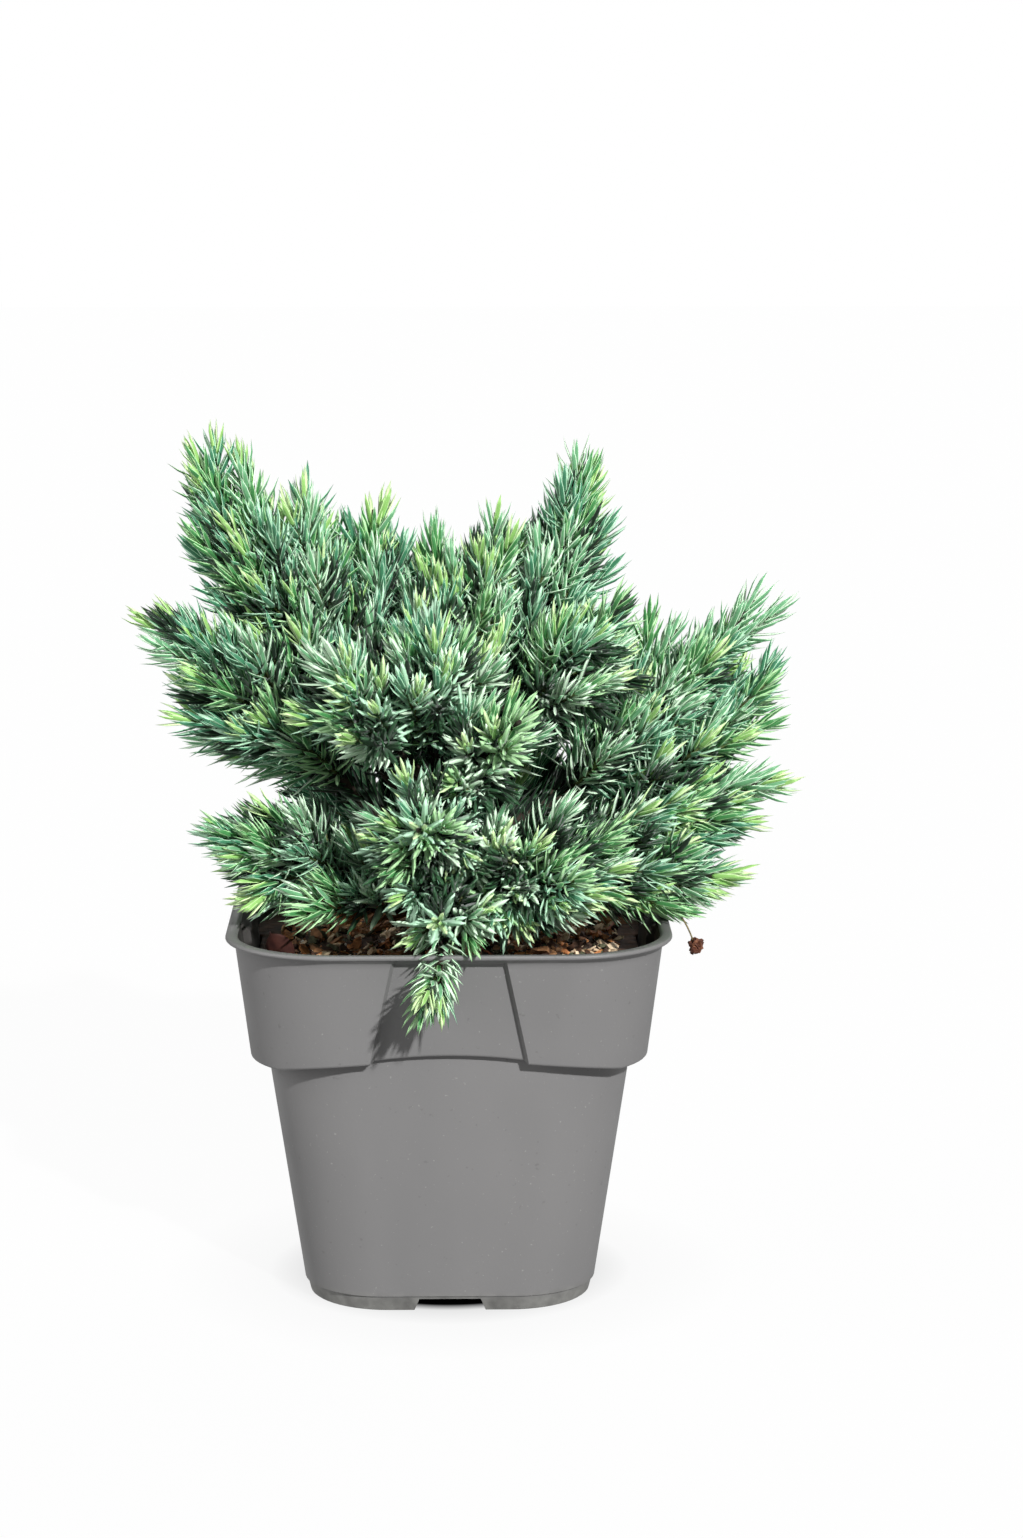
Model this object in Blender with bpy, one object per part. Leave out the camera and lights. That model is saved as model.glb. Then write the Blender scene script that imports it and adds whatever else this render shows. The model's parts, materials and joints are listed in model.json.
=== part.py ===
"""A blue star juniper, a dwarf conifer, growing in a square grey nursery pot.

The pot, its soil, the short trunk, each bough and each mass of foliage is a
closed solid of its own. Units are metres and +Z is up. The front of the pot
faces -Y and +X is to the right. The origin is the middle of the pot's
underside, on the surface that the pot stands on.
"""

import math
import random
from collections import namedtuple

import bmesh
import bpy
import numpy as np
from mathutils import Vector
from mathutils.bvhtree import BVHTree

# Clearance between neighbouring pieces, and the clearance that limbs are cut to
GAP = 0.0003
CUT_GAP = 0.0004
UP = Vector((0.0, 0.0, 1.0))

# Pot: a square with round corners, half widths measured at the middle of a side
RIM_TOP = 0.1217
LIP_HEIGHT = 0.0022
LIP_HALF = 0.0707
COLLAR_TOP_HALF = 0.0676
COLLAR_FOOT = 0.0822
COLLAR_FOOT_HALF = 0.0633
BODY_TOP = 0.0765
BODY_TOP_HALF = 0.0573
BODY_FOOT_HALF = 0.0470
FOOT_HEIGHT = 0.0046
FOOT_TOP_HALF = 0.0463
FOOT_HALF = 0.0453
WALL = 0.0013
LIP_WIDTH = 0.0040
FOOT_WALL = 0.0022
UNDERSIDE = 0.0042
FOOT_CORNER = 0.0256
RIM_CORNER = 0.0335
CORNER_STEPS = 5
EDGE_ROUND = 0.0002
FOOT_STEP = 0.0003
COLLAR_EDGE_HALF = 0.0626
COLLAR_EDGE = 0.0814
INNER_LEDGE = 0.0775
LIP_THICKNESS = 0.0027
SHARP_ANGLE = math.radians(30)

# Recessed panel in the middle of each side of the collar
PANEL_DEPTH = 0.0032
PANEL_FOOT_HALF = 0.0235
PANEL_TOP_HALF = 0.0165
PANEL_RAMP = 0.0012
PANEL_TO_CORNER = 0.0030
PANEL_ARCH = 0.0044
PANEL_ARCH_SIDE = 0.0028
COLLAR_ARCH = 0.0012
COLLAR_CORNER_DROP = 0.0014

# Drain notch in the middle of each side of the foot, and the pad under the floor
NOTCH_FOOT_HALF = 0.0110
NOTCH_TOP_HALF = 0.0093
NOTCH_HEIGHT = 0.0040
NOTCH_OVERCUT = 0.0010
PAD_RADIUS = 0.0100
PAD_SIDES = 20

# Soil: its level under the rim, its clearance to the wall and the lumps on top
SOIL_LEVEL = 0.1087
SOIL_INSET = 0.0008
SOIL_LUMP = 0.0011
SOIL_LUMP_RING = 0.72
SOIL_FLAT_RING = 0.26
SOIL_SEED = 5

# Trunk: radius at each height above the soil, with a three-lobed flare at the foot
TRUNK_PROFILE = ((0.0, 0.0100), (0.0035, 0.0078), (0.011, 0.0064), (0.026, 0.0056),
                 (0.039, 0.0044), (0.043, 0.0022))
TRUNK_FLARE_HEIGHT = 0.008
TRUNK_FLARE_LOBE = 0.16
TRUNK_FLARE_TURN = 0.7
TRUNK_LEAN = Vector((-0.10, 0.06, 1.0))
TRUNK_SIDES = 8
BARK_SHARP_ANGLE = math.radians(50)
BOUGH_SHADE = 1.15

# Boughs and the stems inside the masses
BOUGH_SIDES = 5
BOUGH_RINGS = 3
BOUGH_TAPER = 0.62
STEM_SIDES = 3
STEM_RINGS = 5
STEM_TIP_RADIUS = 0.0006
STEM_SHORT_OF_TIP = 0.0045
PLUMB = 0.0001

# Sprays: a slim three-sided shoot with whorls of three needles, larger than life
SHOOT_RADIUS = 0.0014
SHOOT_TIP_SHARE = 0.55
WHORL_SPACING = 0.0085
WHORL_TWIST = math.radians(60)
NEEDLE_LENGTH = 0.0105
NEEDLE_LEAN = math.radians(42)
TIP_NEEDLE = 0.0090
TIP_WHORLS = 3
SHORTEST_BARE = 0.0015
SHOOT_LIFT = 0.25

# Twigs on each stem
GOLDEN_ANGLE = math.radians(137.5)
TWIG_LEAN_FOOT = math.radians(62)
TWIG_LEAN_TIP = math.radians(34)
TWIG_FIRST = 0.06
TWIG_LAST = 0.90
TWIG_STEP = 0.618
TWIG_TRIES = 24
LEAN_SHARES = (1.0, 0.72, 0.48)
GOOD_FIT = 0.70
TIP_WIDTH = 0.005
NEEDLE_ROOM = 0.009
TIP_ROOM = 0.004
SPRAY_ROOM = 0.0050
SHORTEST_SPRAY = 0.0150
SHORTER = 0.86
SIDE_SPRAY_PLACE = 0.42
SIDE_SPRAY_SHARE = 0.62
REACH_RANGE = (0.92, 1.12)
SIDE_SPRAY_LEAN = math.radians(46)
SIDE_SPRAY_MIN_TWIG = 0.024
SPRAY_FOOT_SHARE = 0.5
TIP_SPRAY_TURN = 0.3

# Dense inner part of a mass, and the room that each mass keeps round itself
CORE_SHARE = 0.62
CORE_ROOM_SHARE = 0.80
CORE_PROBES = 14
CORE_SIDES = 6
CORE_RINGS = (0.07, 0.24, 0.42, 0.58, 0.73)
CORE_START = 0.035
CORE_END = 0.86
CORE_LUMP = 0.20
TUFT_HEIGHT = 0.0115
TUFT_LEAN = math.radians(40)
TUFT_SHORTEST = 0.003
SPACE_MARGIN = 0.0006
LIMB_MARGIN = 0.0007
CORE_LIMB_MARGIN = 0.0030
POT_MARGIN = 0.0008
AXIS_SAMPLES = 28
WELD = 0.000003

# One row for each limb. It leaves its parent at a height over the soil on the
# trunk, or at a share of the parent's bough. Its tip has a bearing from +X, a
# reach from the pot's axis and a height over the ground. It sets out at an angle
# above the level, "bare" is the share of it that is bough, "girth" is how far its
# twigs reach from the stem inside the mass, "spread" is how fast it broadens from
# its tip, and "sprays" is how many it has.
Limb = namedtuple("Limb", "name parent fork bearing reach height rise bare radius girth "
                          "spread sprays")

LIMBS = (
    Limb("left_plume", "trunk", 0.037, 172, 0.0860, 0.2760, 50, 0.30, 0.0031, 0.028, 0.30, 10),
    Limb("left_spire", "left_plume", 0.95, 172, 0.0700, 0.2740, 58, 0.28, 0.0020, 0.022, 0.28, 5),
    Limb("left_crest", "left_plume", 0.80, 166, 0.0480, 0.2640, 62, 0.28, 0.0020, 0.026, 0.45, 7),
    Limb("inner_crest", "left_plume", 0.50, 143, 0.0300, 0.2560, 66, 0.28, 0.0020, 0.028, 0.60, 6),
    Limb("left_arm", "trunk", 0.027, 188, 0.0960, 0.2260, 42, 0.30, 0.0029, 0.021, 0.55, 9),
    Limb("left_low_arm", "left_arm", 0.70, 176, 0.0900, 0.1960, 32, 0.30, 0.0020, 0.017, 0.55, 6),
    Limb("left_skirt", "trunk", 0.013, 199, 0.0860, 0.1520, 24, 0.28, 0.0026, 0.030, 1.40, 8),
    Limb("front_crown", "trunk", 0.035, 263, 0.0400, 0.2290, 54, 0.32, 0.0028, 0.036, 1.80, 9),
    Limb("front_left", "front_crown", 0.75, 234, 0.0640, 0.2150, 38, 0.28, 0.0020, 0.034, 1.60, 8),
    Limb("front_right", "front_crown", 0.55, 291, 0.0660, 0.1950, 32, 0.28, 0.0020, 0.034, 1.60, 8),
    Limb("front_mid", "trunk", 0.022, 263, 0.0800, 0.1630, 32, 0.30, 0.0026, 0.034, 1.60, 8),
    Limb("front_low", "trunk", 0.009, 222, 0.0670, 0.1290, 20, 0.28, 0.0024, 0.026, 1.30, 6),
    Limb("front_burst", "trunk", 0.015, 298, 0.0890, 0.1400, 28, 0.30, 0.0026, 0.032, 1.60, 8),
    Limb("front_droop", "trunk", 0.010, 268, 0.0900, 0.1060, 38, 0.34, 0.0026, 0.028, 0.80, 7),
    Limb("centre_crest", "trunk", 0.041, 101, 0.0250, 0.2500, 74, 0.30, 0.0028, 0.030, 0.95, 7),
    Limb("mid_crest", "centre_crest", 0.60, 43, 0.0220, 0.2550, 66, 0.28, 0.0020, 0.030, 0.80, 7),
    Limb("right_plume", "trunk", 0.039, 12, 0.0495, 0.2720, 60, 0.30, 0.0029, 0.024, 0.32, 9),
    Limb("right_shoulder", "right_plume", 0.70, 342, 0.0600, 0.2290, 38, 0.28, 0.0020, 0.033, 1.20, 8),
    Limb("right_tip", "trunk", 0.030, 0, 0.1030, 0.2310, 20, 0.30, 0.0029, 0.024, 0.28, 8),
    Limb("right_crest", "right_tip", 0.70, 14, 0.0790, 0.2160, 32, 0.30, 0.0020, 0.025, 0.42, 6),
    Limb("right_arm", "trunk", 0.020, 356, 0.1110, 0.1690, 15, 0.30, 0.0028, 0.026, 0.55, 9),
    Limb("right_hand", "right_arm", 0.75, 1, 0.1100, 0.2050, 26, 0.30, 0.0020, 0.024, 0.45, 6),
    Limb("right_skirt", "trunk", 0.011, 348, 0.0990, 0.1360, 20, 0.28, 0.0026, 0.030, 1.20, 7),
    Limb("back_left", "back_centre", 0.60, 129, 0.0940, 0.2140, 34, 0.32, 0.0022, 0.036, 1.40, 8),
    Limb("back_centre", "trunk", 0.026, 90, 0.0830, 0.2240, 42, 0.32, 0.0029, 0.038, 1.40, 9),
    Limb("back_right", "back_centre", 0.80, 47, 0.0940, 0.2050, 32, 0.30, 0.0022, 0.036, 1.40, 8),
    Limb("back_low_left", "trunk", 0.014, 120, 0.0960, 0.1500, 22, 0.30, 0.0026, 0.036, 1.30, 9),
    Limb("back_low_right", "trunk", 0.018, 63, 0.0980, 0.1450, 24, 0.30, 0.0026, 0.036, 1.30, 9),
)

# Colours as sRGB, with roughness and metallic value
COLOURS = {
    "pot": ((0.46, 0.47, 0.47), 0.50, 0.0),
    "potting_soil": ((0.17, 0.11, 0.07), 0.95, 0.0),
    "bark": ((0.36, 0.25, 0.17), 0.90, 0.0),
    "foliage": ((0.47, 0.62, 0.58), 0.60, 0.0),
}


def clear_scene():
    """Remove whatever the scene starts with."""
    for obj in list(bpy.data.objects):
        bpy.data.objects.remove(obj, do_unlink=True)


def to_linear(value):
    """Turn one sRGB channel into linear light."""
    return value / 12.92 if value <= 0.04045 else ((value + 0.055) / 1.055) ** 2.4


def make_material(name, kind, shade=1.0):
    """A Principled material of one of the part's colours."""
    colour, roughness, metallic = COLOURS[kind]
    material = bpy.data.materials.new(name)
    material.use_nodes = True
    shader = material.node_tree.nodes["Principled BSDF"]
    linear = [to_linear(channel) * shade for channel in colour]
    shader.inputs["Base Color"].default_value = (*linear, 1.0)
    shader.inputs["Roughness"].default_value = roughness
    shader.inputs["Metallic"].default_value = metallic
    return material


def mesh_object(name, points, faces):
    """An object in the scene from points and faces."""
    mesh = bpy.data.meshes.new(name)
    mesh.from_pydata([tuple(point) for point in points], [], faces)
    mesh.validate()
    obj = bpy.data.objects.new(name, mesh)
    bpy.context.scene.collection.objects.link(obj)
    return obj


def loft(rings):
    """Points and faces of a closed skin over rings that run anticlockwise seen from ahead."""
    count = len(rings[0])
    points = [point for ring in rings for point in ring]
    faces = []
    for level in range(len(rings) - 1):
        low = level * count
        high = low + count
        for i in range(count):
            j = (i + 1) % count
            faces.append((low + i, low + j, high + j, high + i))
    faces.append(tuple(reversed(range(count))))
    faces.append(tuple(range(len(points) - count, len(points))))
    return points, faces


def apply_boolean(obj, operation, other=None, collection=None, solver="EXACT"):
    """Apply one Boolean to an object, with a cutter or a whole collection."""
    modifier = obj.modifiers.new("Boolean", "BOOLEAN")
    modifier.operation = operation
    modifier.solver = solver
    if collection is None:
        modifier.object = other
    else:
        modifier.operand_type = "COLLECTION"
        modifier.collection = collection
    bpy.context.view_layer.update()
    depsgraph = bpy.context.evaluated_depsgraph_get()
    result = bpy.data.meshes.new_from_object(obj.evaluated_get(depsgraph))
    obj.modifiers.remove(modifier)
    obj.data = result
    result.name = obj.name


def cut_away(obj, cutter):
    """Take a cutter's shape out of an object and remove the cutter."""
    cutter.hide_render = True
    cutter.display_type = "WIRE"
    apply_boolean(obj, "DIFFERENCE", other=cutter)
    bpy.data.objects.remove(cutter, do_unlink=True)


# Pot and soil


def panel_half_at(z):
    """Half width of the collar's panel, which narrows towards the rim."""
    share = (z - COLLAR_FOOT) / (RIM_TOP - LIP_HEIGHT - COLLAR_FOOT)
    share = min(max(share, 0.0), 1.0)
    return PANEL_FOOT_HALF + (PANEL_TOP_HALF - PANEL_FOOT_HALF) * share


def corner_at(z):
    """Radius of the pot's corners at one height."""
    return FOOT_CORNER + (RIM_CORNER - FOOT_CORNER) * z / RIM_TOP


def square_ring(half, z, depth=0.0, arched=False, grow_panel=0.0):
    """Points round the pot at one height, with the panel's stations on every side."""
    corner = corner_at(z)
    widest = half + grow_panel - corner - PANEL_TO_CORNER
    panel = min(panel_half_at(z), widest) + grow_panel
    stations = (
        (-panel - PANEL_RAMP, 0.0, COLLAR_ARCH),
        (-panel, depth, PANEL_ARCH_SIDE),
        (0.0, depth, PANEL_ARCH),
        (panel, depth, PANEL_ARCH_SIDE),
        (panel + PANEL_RAMP, 0.0, COLLAR_ARCH),
    )
    outline = [(half - inward, along, lift if arched else 0.0) for along, inward, lift in stations]
    drop = COLLAR_CORNER_DROP if arched else 0.0
    for step in range(CORNER_STEPS + 1):
        angle = 0.5 * math.pi * step / CORNER_STEPS
        x = half - corner + corner * math.cos(angle)
        y = half - corner + corner * math.sin(angle)
        outline.append((x, y, -drop * math.sin(2 * angle)))
    ring = []
    for side in range(4):
        cosine = round(math.cos(side * math.pi / 2))
        sine = round(math.sin(side * math.pi / 2))
        for x, y, lift in outline:
            ring.append(Vector((cosine * x - sine * y, sine * x + cosine * y, z + lift)))
    return ring


def inner_rings(inset=0.0):
    """Rings down the inside of the pot, from under the lip to the floor."""
    return [
        square_ring(COLLAR_TOP_HALF - WALL - inset, RIM_TOP - LIP_THICKNESS, PANEL_DEPTH,
                    grow_panel=inset),
        square_ring(COLLAR_FOOT_HALF - WALL - inset, COLLAR_FOOT + 2 * inset, PANEL_DEPTH, True,
                    grow_panel=inset),
        square_ring(BODY_TOP_HALF - WALL - inset, INNER_LEDGE, grow_panel=inset),
        square_ring(BODY_FOOT_HALF - WALL - inset, UNDERSIDE + WALL + inset, grow_panel=inset),
    ]


def make_notch_cutter():
    """Four wedges that cut the drain notches through the foot."""
    points = []
    faces = []
    inner = FOOT_HALF - 2 * FOOT_WALL
    outer = FOOT_TOP_HALF + NOTCH_OVERCUT
    profile = (
        (-NOTCH_FOOT_HALF, -NOTCH_OVERCUT),
        (NOTCH_FOOT_HALF, -NOTCH_OVERCUT),
        (NOTCH_TOP_HALF, NOTCH_HEIGHT),
        (-NOTCH_TOP_HALF, NOTCH_HEIGHT),
    )
    for side in range(4):
        cosine = round(math.cos(side * math.pi / 2))
        sine = round(math.sin(side * math.pi / 2))
        rings = []
        for x in (inner, outer):
            rings.append([Vector((cosine * x - sine * y, sine * x + cosine * y, z))
                          for y, z in profile])
        wedge_points, wedge_faces = loft(rings)
        faces += [tuple(index + len(points) for index in face) for face in wedge_faces]
        points += wedge_points
    return mesh_object("notch_cutter", points, faces)


def make_pad():
    """The round pad that stands under the middle of the floor."""
    rings = []
    for z in (0.0, UNDERSIDE + 0.5 * WALL):
        rings.append([Vector((PAD_RADIUS * math.cos(2 * math.pi * i / PAD_SIDES),
                              PAD_RADIUS * math.sin(2 * math.pi * i / PAD_SIDES), z))
                      for i in range(PAD_SIDES)])
    return mesh_object("pad", *loft(rings))


def make_pot():
    """The pot: foot, tapering body, stepped collar with four panels, and lip."""
    lip_foot = RIM_TOP - LIP_HEIGHT
    rings = [
        square_ring(FOOT_HALF - FOOT_WALL, UNDERSIDE),
        square_ring(FOOT_HALF - FOOT_WALL, 0.0),
        square_ring(FOOT_HALF, 0.0),
        square_ring(FOOT_TOP_HALF, FOOT_HEIGHT),
        square_ring(BODY_FOOT_HALF, FOOT_HEIGHT + FOOT_STEP),
        square_ring(BODY_TOP_HALF, BODY_TOP),
        square_ring(COLLAR_EDGE_HALF, COLLAR_EDGE, PANEL_DEPTH, True),
        square_ring(COLLAR_FOOT_HALF, COLLAR_FOOT, PANEL_DEPTH, True),
        square_ring(COLLAR_TOP_HALF, lip_foot - EDGE_ROUND, PANEL_DEPTH),
        square_ring(LIP_HALF - EDGE_ROUND, lip_foot),
        square_ring(LIP_HALF, RIM_TOP),
        square_ring(LIP_HALF - LIP_WIDTH, RIM_TOP),
    ]
    rings += inner_rings()
    pot = mesh_object("pot", *loft(rings))
    cut_away(pot, make_notch_cutter())
    pad = make_pad()
    apply_boolean(pot, "UNION", other=pad)
    bpy.data.objects.remove(pad, do_unlink=True)
    pot.data.shade_smooth()
    pot.data.set_sharp_from_angle(angle=SHARP_ANGLE)
    pot.data.materials.clear()
    pot.data.materials.append(make_material("pot_plastic", "pot"))
    return pot


def make_soil():
    """The soil that fills the pot, lumpy on top but level round the trunk."""
    picker = random.Random(SOIL_SEED)
    walls = list(reversed(inner_rings(SOIL_INSET)))[:3]
    high, low = COLLAR_TOP_HALF, COLLAR_FOOT_HALF
    share = (SOIL_LEVEL - COLLAR_FOOT) / (RIM_TOP - LIP_HEIGHT - COLLAR_FOOT)
    half = low + (high - low) * share - WALL - SOIL_INSET
    edge = square_ring(half, SOIL_LEVEL, PANEL_DEPTH, grow_panel=SOIL_INSET)
    lumps = [Vector((p.x * SOIL_LUMP_RING, p.y * SOIL_LUMP_RING,
                     p.z + picker.uniform(-SOIL_LUMP, SOIL_LUMP))) for p in edge]
    flat = [Vector((p.x * SOIL_FLAT_RING, p.y * SOIL_FLAT_RING, p.z)) for p in edge]
    soil = mesh_object("potting_soil", *loft(walls + [edge, lumps, flat]))
    soil.data.materials.append(make_material("potting_soil", "potting_soil"))
    return soil


# Limbs


def trunk_centre(height):
    """Point on the trunk's axis at a height over the soil."""
    return Vector((0.0, 0.0, SOIL_LEVEL + GAP)) + TRUNK_LEAN * (height / TRUNK_LEAN.z)


def trunk_rings(grow=0.0):
    """Rings up the trunk, swollen by a clearance for a cutter."""
    rings = []
    for height, radius in TRUNK_PROFILE:
        centre = trunk_centre(height)
        flare = max(0.0, 1.0 - height / TRUNK_FLARE_HEIGHT)
        ring = []
        for i in range(TRUNK_SIDES):
            angle = 2 * math.pi * i / TRUNK_SIDES
            lobe = 1.0 + TRUNK_FLARE_LOBE * flare * math.cos(3 * angle + TRUNK_FLARE_TURN)
            reach = radius * lobe + grow
            ring.append(centre + Vector((reach * math.cos(angle), reach * math.sin(angle), 0)))
        rings.append(ring)
    if grow:
        for point in rings[-1]:
            point.z += grow
    return rings


def frame_along(direction):
    """Two unit vectors square to a direction and to each other."""
    side = UP.cross(direction)
    if side.length < PLUMB:
        side = Vector((1.0, 0.0, 0.0))
    side.normalize()
    return side, direction.cross(side)


def round_ring(centre, direction, radius, sides, turn=0.0):
    """A ring of points square to a direction, anticlockwise seen from ahead."""
    side, rise = frame_along(direction)
    ring = []
    for i in range(sides):
        angle = turn + 2 * math.pi * i / sides
        ring.append(centre + side * (radius * math.cos(angle)) + rise * (radius * math.sin(angle)))
    return ring


class Path:
    """The curve of one limb, from its parent's axis to its tip."""

    def __init__(self, limb, paths):
        self.limb = limb
        if limb.parent == "trunk":
            self.start = trunk_centre(limb.fork)
        else:
            parent = paths[limb.parent]
            self.start = parent.point(limb.fork * parent.limb.bare)
        bearing = math.radians(limb.bearing)
        outward = Vector((math.cos(bearing), math.sin(bearing), 0.0))
        self.tip = outward * limb.reach + UP * limb.height
        rise = math.radians(limb.rise)
        level = Vector((self.tip.x - self.start.x, self.tip.y - self.start.y, 0.0)).normalized()
        first = level * math.cos(rise) + UP * math.sin(rise)
        self.knee = self.start + first * (0.5 * (self.tip - self.start).length)
        self.length = (self.tip - self.start).length

    def point(self, share):
        rest = 1.0 - share
        return (self.start * rest ** 2 + self.knee * (2 * rest * share)
                + self.tip * share ** 2)

    def direction(self, share):
        slope = (self.knee - self.start) * (1 - share) + (self.tip - self.knee) * share
        return slope.normalized()

    def radius(self, share):
        """The bough's radius at a share of the whole limb."""
        return self.limb.radius * (1.0 - (1.0 - BOUGH_TAPER) * share / self.limb.bare)


def make_paths():
    """The path of every limb, parents before children."""
    rows = {limb.name: limb for limb in LIMBS}
    paths = {}

    def add(limb):
        if limb.name not in paths:
            if limb.parent != "trunk":
                add(rows[limb.parent])
            paths[limb.name] = Path(limb, paths)

    for limb in LIMBS:
        add(limb)
    return paths


def bough_rings(path, grow=0.0, ahead=0.0):
    """Rings along a bough, swollen by a clearance for a cutter."""
    rings = []
    for i in range(BOUGH_RINGS + 1):
        share = path.limb.bare * i / BOUGH_RINGS
        direction = path.direction(share)
        centre = path.point(share)
        if i == BOUGH_RINGS:
            centre = centre + direction * ahead
        rings.append(round_ring(centre, direction, path.radius(share) + grow, BOUGH_SIDES))
    return rings


def make_trunk():
    """The short trunk, cut flat at the soil."""
    trunk = mesh_object("trunk", *loft(trunk_rings()))
    trunk.data.shade_smooth()
    trunk.data.set_sharp_from_angle(angle=BARK_SHARP_ANGLE)
    trunk.data.materials.append(make_material("bark_trunk", "bark"))
    return trunk


def boughs_meet(path, other):
    """True if two boughs would touch."""
    shares = [i / AXIS_SAMPLES for i in range(AXIS_SAMPLES + 1)]
    for share in shares:
        here = path.point(share * path.limb.bare)
        for other_share in shares:
            there = other.point(other_share * other.limb.bare)
            if (here - there).length < path.limb.radius + other.limb.radius + CUT_GAP:
                return True
    return False


def make_rim_cutter():
    """The pot's collar and the soil in it, swollen by a clearance, for cutting foliage."""
    lip_foot = RIM_TOP - LIP_HEIGHT
    inner_half = COLLAR_FOOT_HALF - WALL - PANEL_DEPTH - CUT_GAP
    soil_top = SOIL_LEVEL + SOIL_LUMP + CUT_GAP
    rings = [
        square_ring(COLLAR_FOOT_HALF + CUT_GAP, COLLAR_FOOT),
        square_ring(COLLAR_TOP_HALF + CUT_GAP, lip_foot - CUT_GAP),
        square_ring(LIP_HALF + CUT_GAP, lip_foot - CUT_GAP),
        square_ring(LIP_HALF + CUT_GAP, RIM_TOP + CUT_GAP),
        square_ring(inner_half, RIM_TOP + CUT_GAP),
        square_ring(inner_half, soil_top),
    ]
    return mesh_object("cutter", *loft(rings))


def touches(obj, other):
    """True if the surfaces of two objects cross."""
    trees = []
    for each in (obj, other):
        shape = bmesh.new()
        shape.from_mesh(each.data)
        trees.append(BVHTree.FromBMesh(shape))
        shape.free()
    return bool(trees[0].overlap(trees[1]))


def make_bough(path, earlier):
    """One tapering bough, cut clear of the trunk and of the boughs made before it."""
    name = path.limb.name + "_bough"
    bough = mesh_object(name, *loft(bough_rings(path)))
    cut_away(bough, mesh_object("cutter", *loft(trunk_rings(CUT_GAP))))
    for other in earlier:
        if boughs_meet(path, other):
            cut_away(bough, mesh_object("cutter", *loft(bough_rings(other, CUT_GAP, CUT_GAP))))
    keep_largest_piece(bough.data)
    bough.data.shade_smooth()
    bough.data.set_sharp_from_angle(angle=BARK_SHARP_ANGLE)
    bough.data.materials.clear()
    bough.data.materials.append(make_material("bark_" + path.limb.name, "bark",
                                              BOUGH_SHADE))
    return bough


# The room that each mass has


class Room:
    """Says which points belong to a mass and are clear of limbs, pot and soil."""

    def __init__(self, paths):
        self.names = list(paths)
        self.axes = []
        limb_points = []
        limb_radii = []
        for path in paths.values():
            bare = path.limb.bare
            shares = np.linspace(bare, 1.0, AXIS_SAMPLES)
            self.axes.append([tuple(path.point(share)) for share in shares])
            for share in np.linspace(0.0, bare, AXIS_SAMPLES):
                limb_points.append(tuple(path.point(share)))
                limb_radii.append(path.radius(share))
        for height in np.linspace(0.0, TRUNK_PROFILE[-1][0], AXIS_SAMPLES):
            limb_points.append(tuple(trunk_centre(height)))
            limb_radii.append(np.interp(height, *zip(*TRUNK_PROFILE)) + GAP)
        self.axes = np.array(self.axes)
        self.limb_points = np.array(limb_points)
        self.limb_radii = np.array(limb_radii)

    def clear_of_pot(self, points):
        """True for each point outside the rim, above it, or over the soil inside it."""

        def distance(half):
            corner = RIM_CORNER
            flat = np.maximum(np.abs(points[:, :2]) - (half - corner), 0.0)
            return np.hypot(flat[:, 0], flat[:, 1]) - corner

        above = points[:, 2] > RIM_TOP + POT_MARGIN
        outside = distance(LIP_HALF) > POT_MARGIN
        inner_half = COLLAR_FOOT_HALF - WALL
        over_soil = points[:, 2] > SOIL_LEVEL + SOIL_LUMP + POT_MARGIN
        inside = (distance(inner_half) < -POT_MARGIN) & over_soil
        inside &= np.max(np.abs(points[:, :2]), axis=1) < inner_half - PANEL_DEPTH - POT_MARGIN
        return above | outside | inside

    def holds(self, points, path, limb_margin=LIMB_MARGIN):
        """True for each point inside the mass's own space and clear of all else."""
        points = np.array([tuple(point) for point in points])
        limb = path.limb
        spans = self.axes[None, :, :, :] - points[:, None, None, :]
        near = np.sqrt((spans ** 2).sum(axis=3)).min(axis=2)
        own = self.names.index(limb.name)
        others = np.delete(near, own, axis=1).min(axis=1)
        spans = self.limb_points[None, :, :] - points[:, None, :]
        limb_gap = (np.sqrt((spans ** 2).sum(axis=2)) - self.limb_radii).min(axis=1)
        mine = near[:, own] + SPACE_MARGIN < others
        behind = (np.array(path.tip) - points) @ np.array(path.direction(1.0))
        width = np.minimum(limb.girth, limb.spread * np.maximum(behind, 0.0) + TIP_WIDTH)
        mine &= (near[:, own] < width + NEEDLE_ROOM) & (behind > -TIP_ROOM)
        return mine & (limb_gap > limb_margin) & self.clear_of_pot(points)


# Foliage


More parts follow.
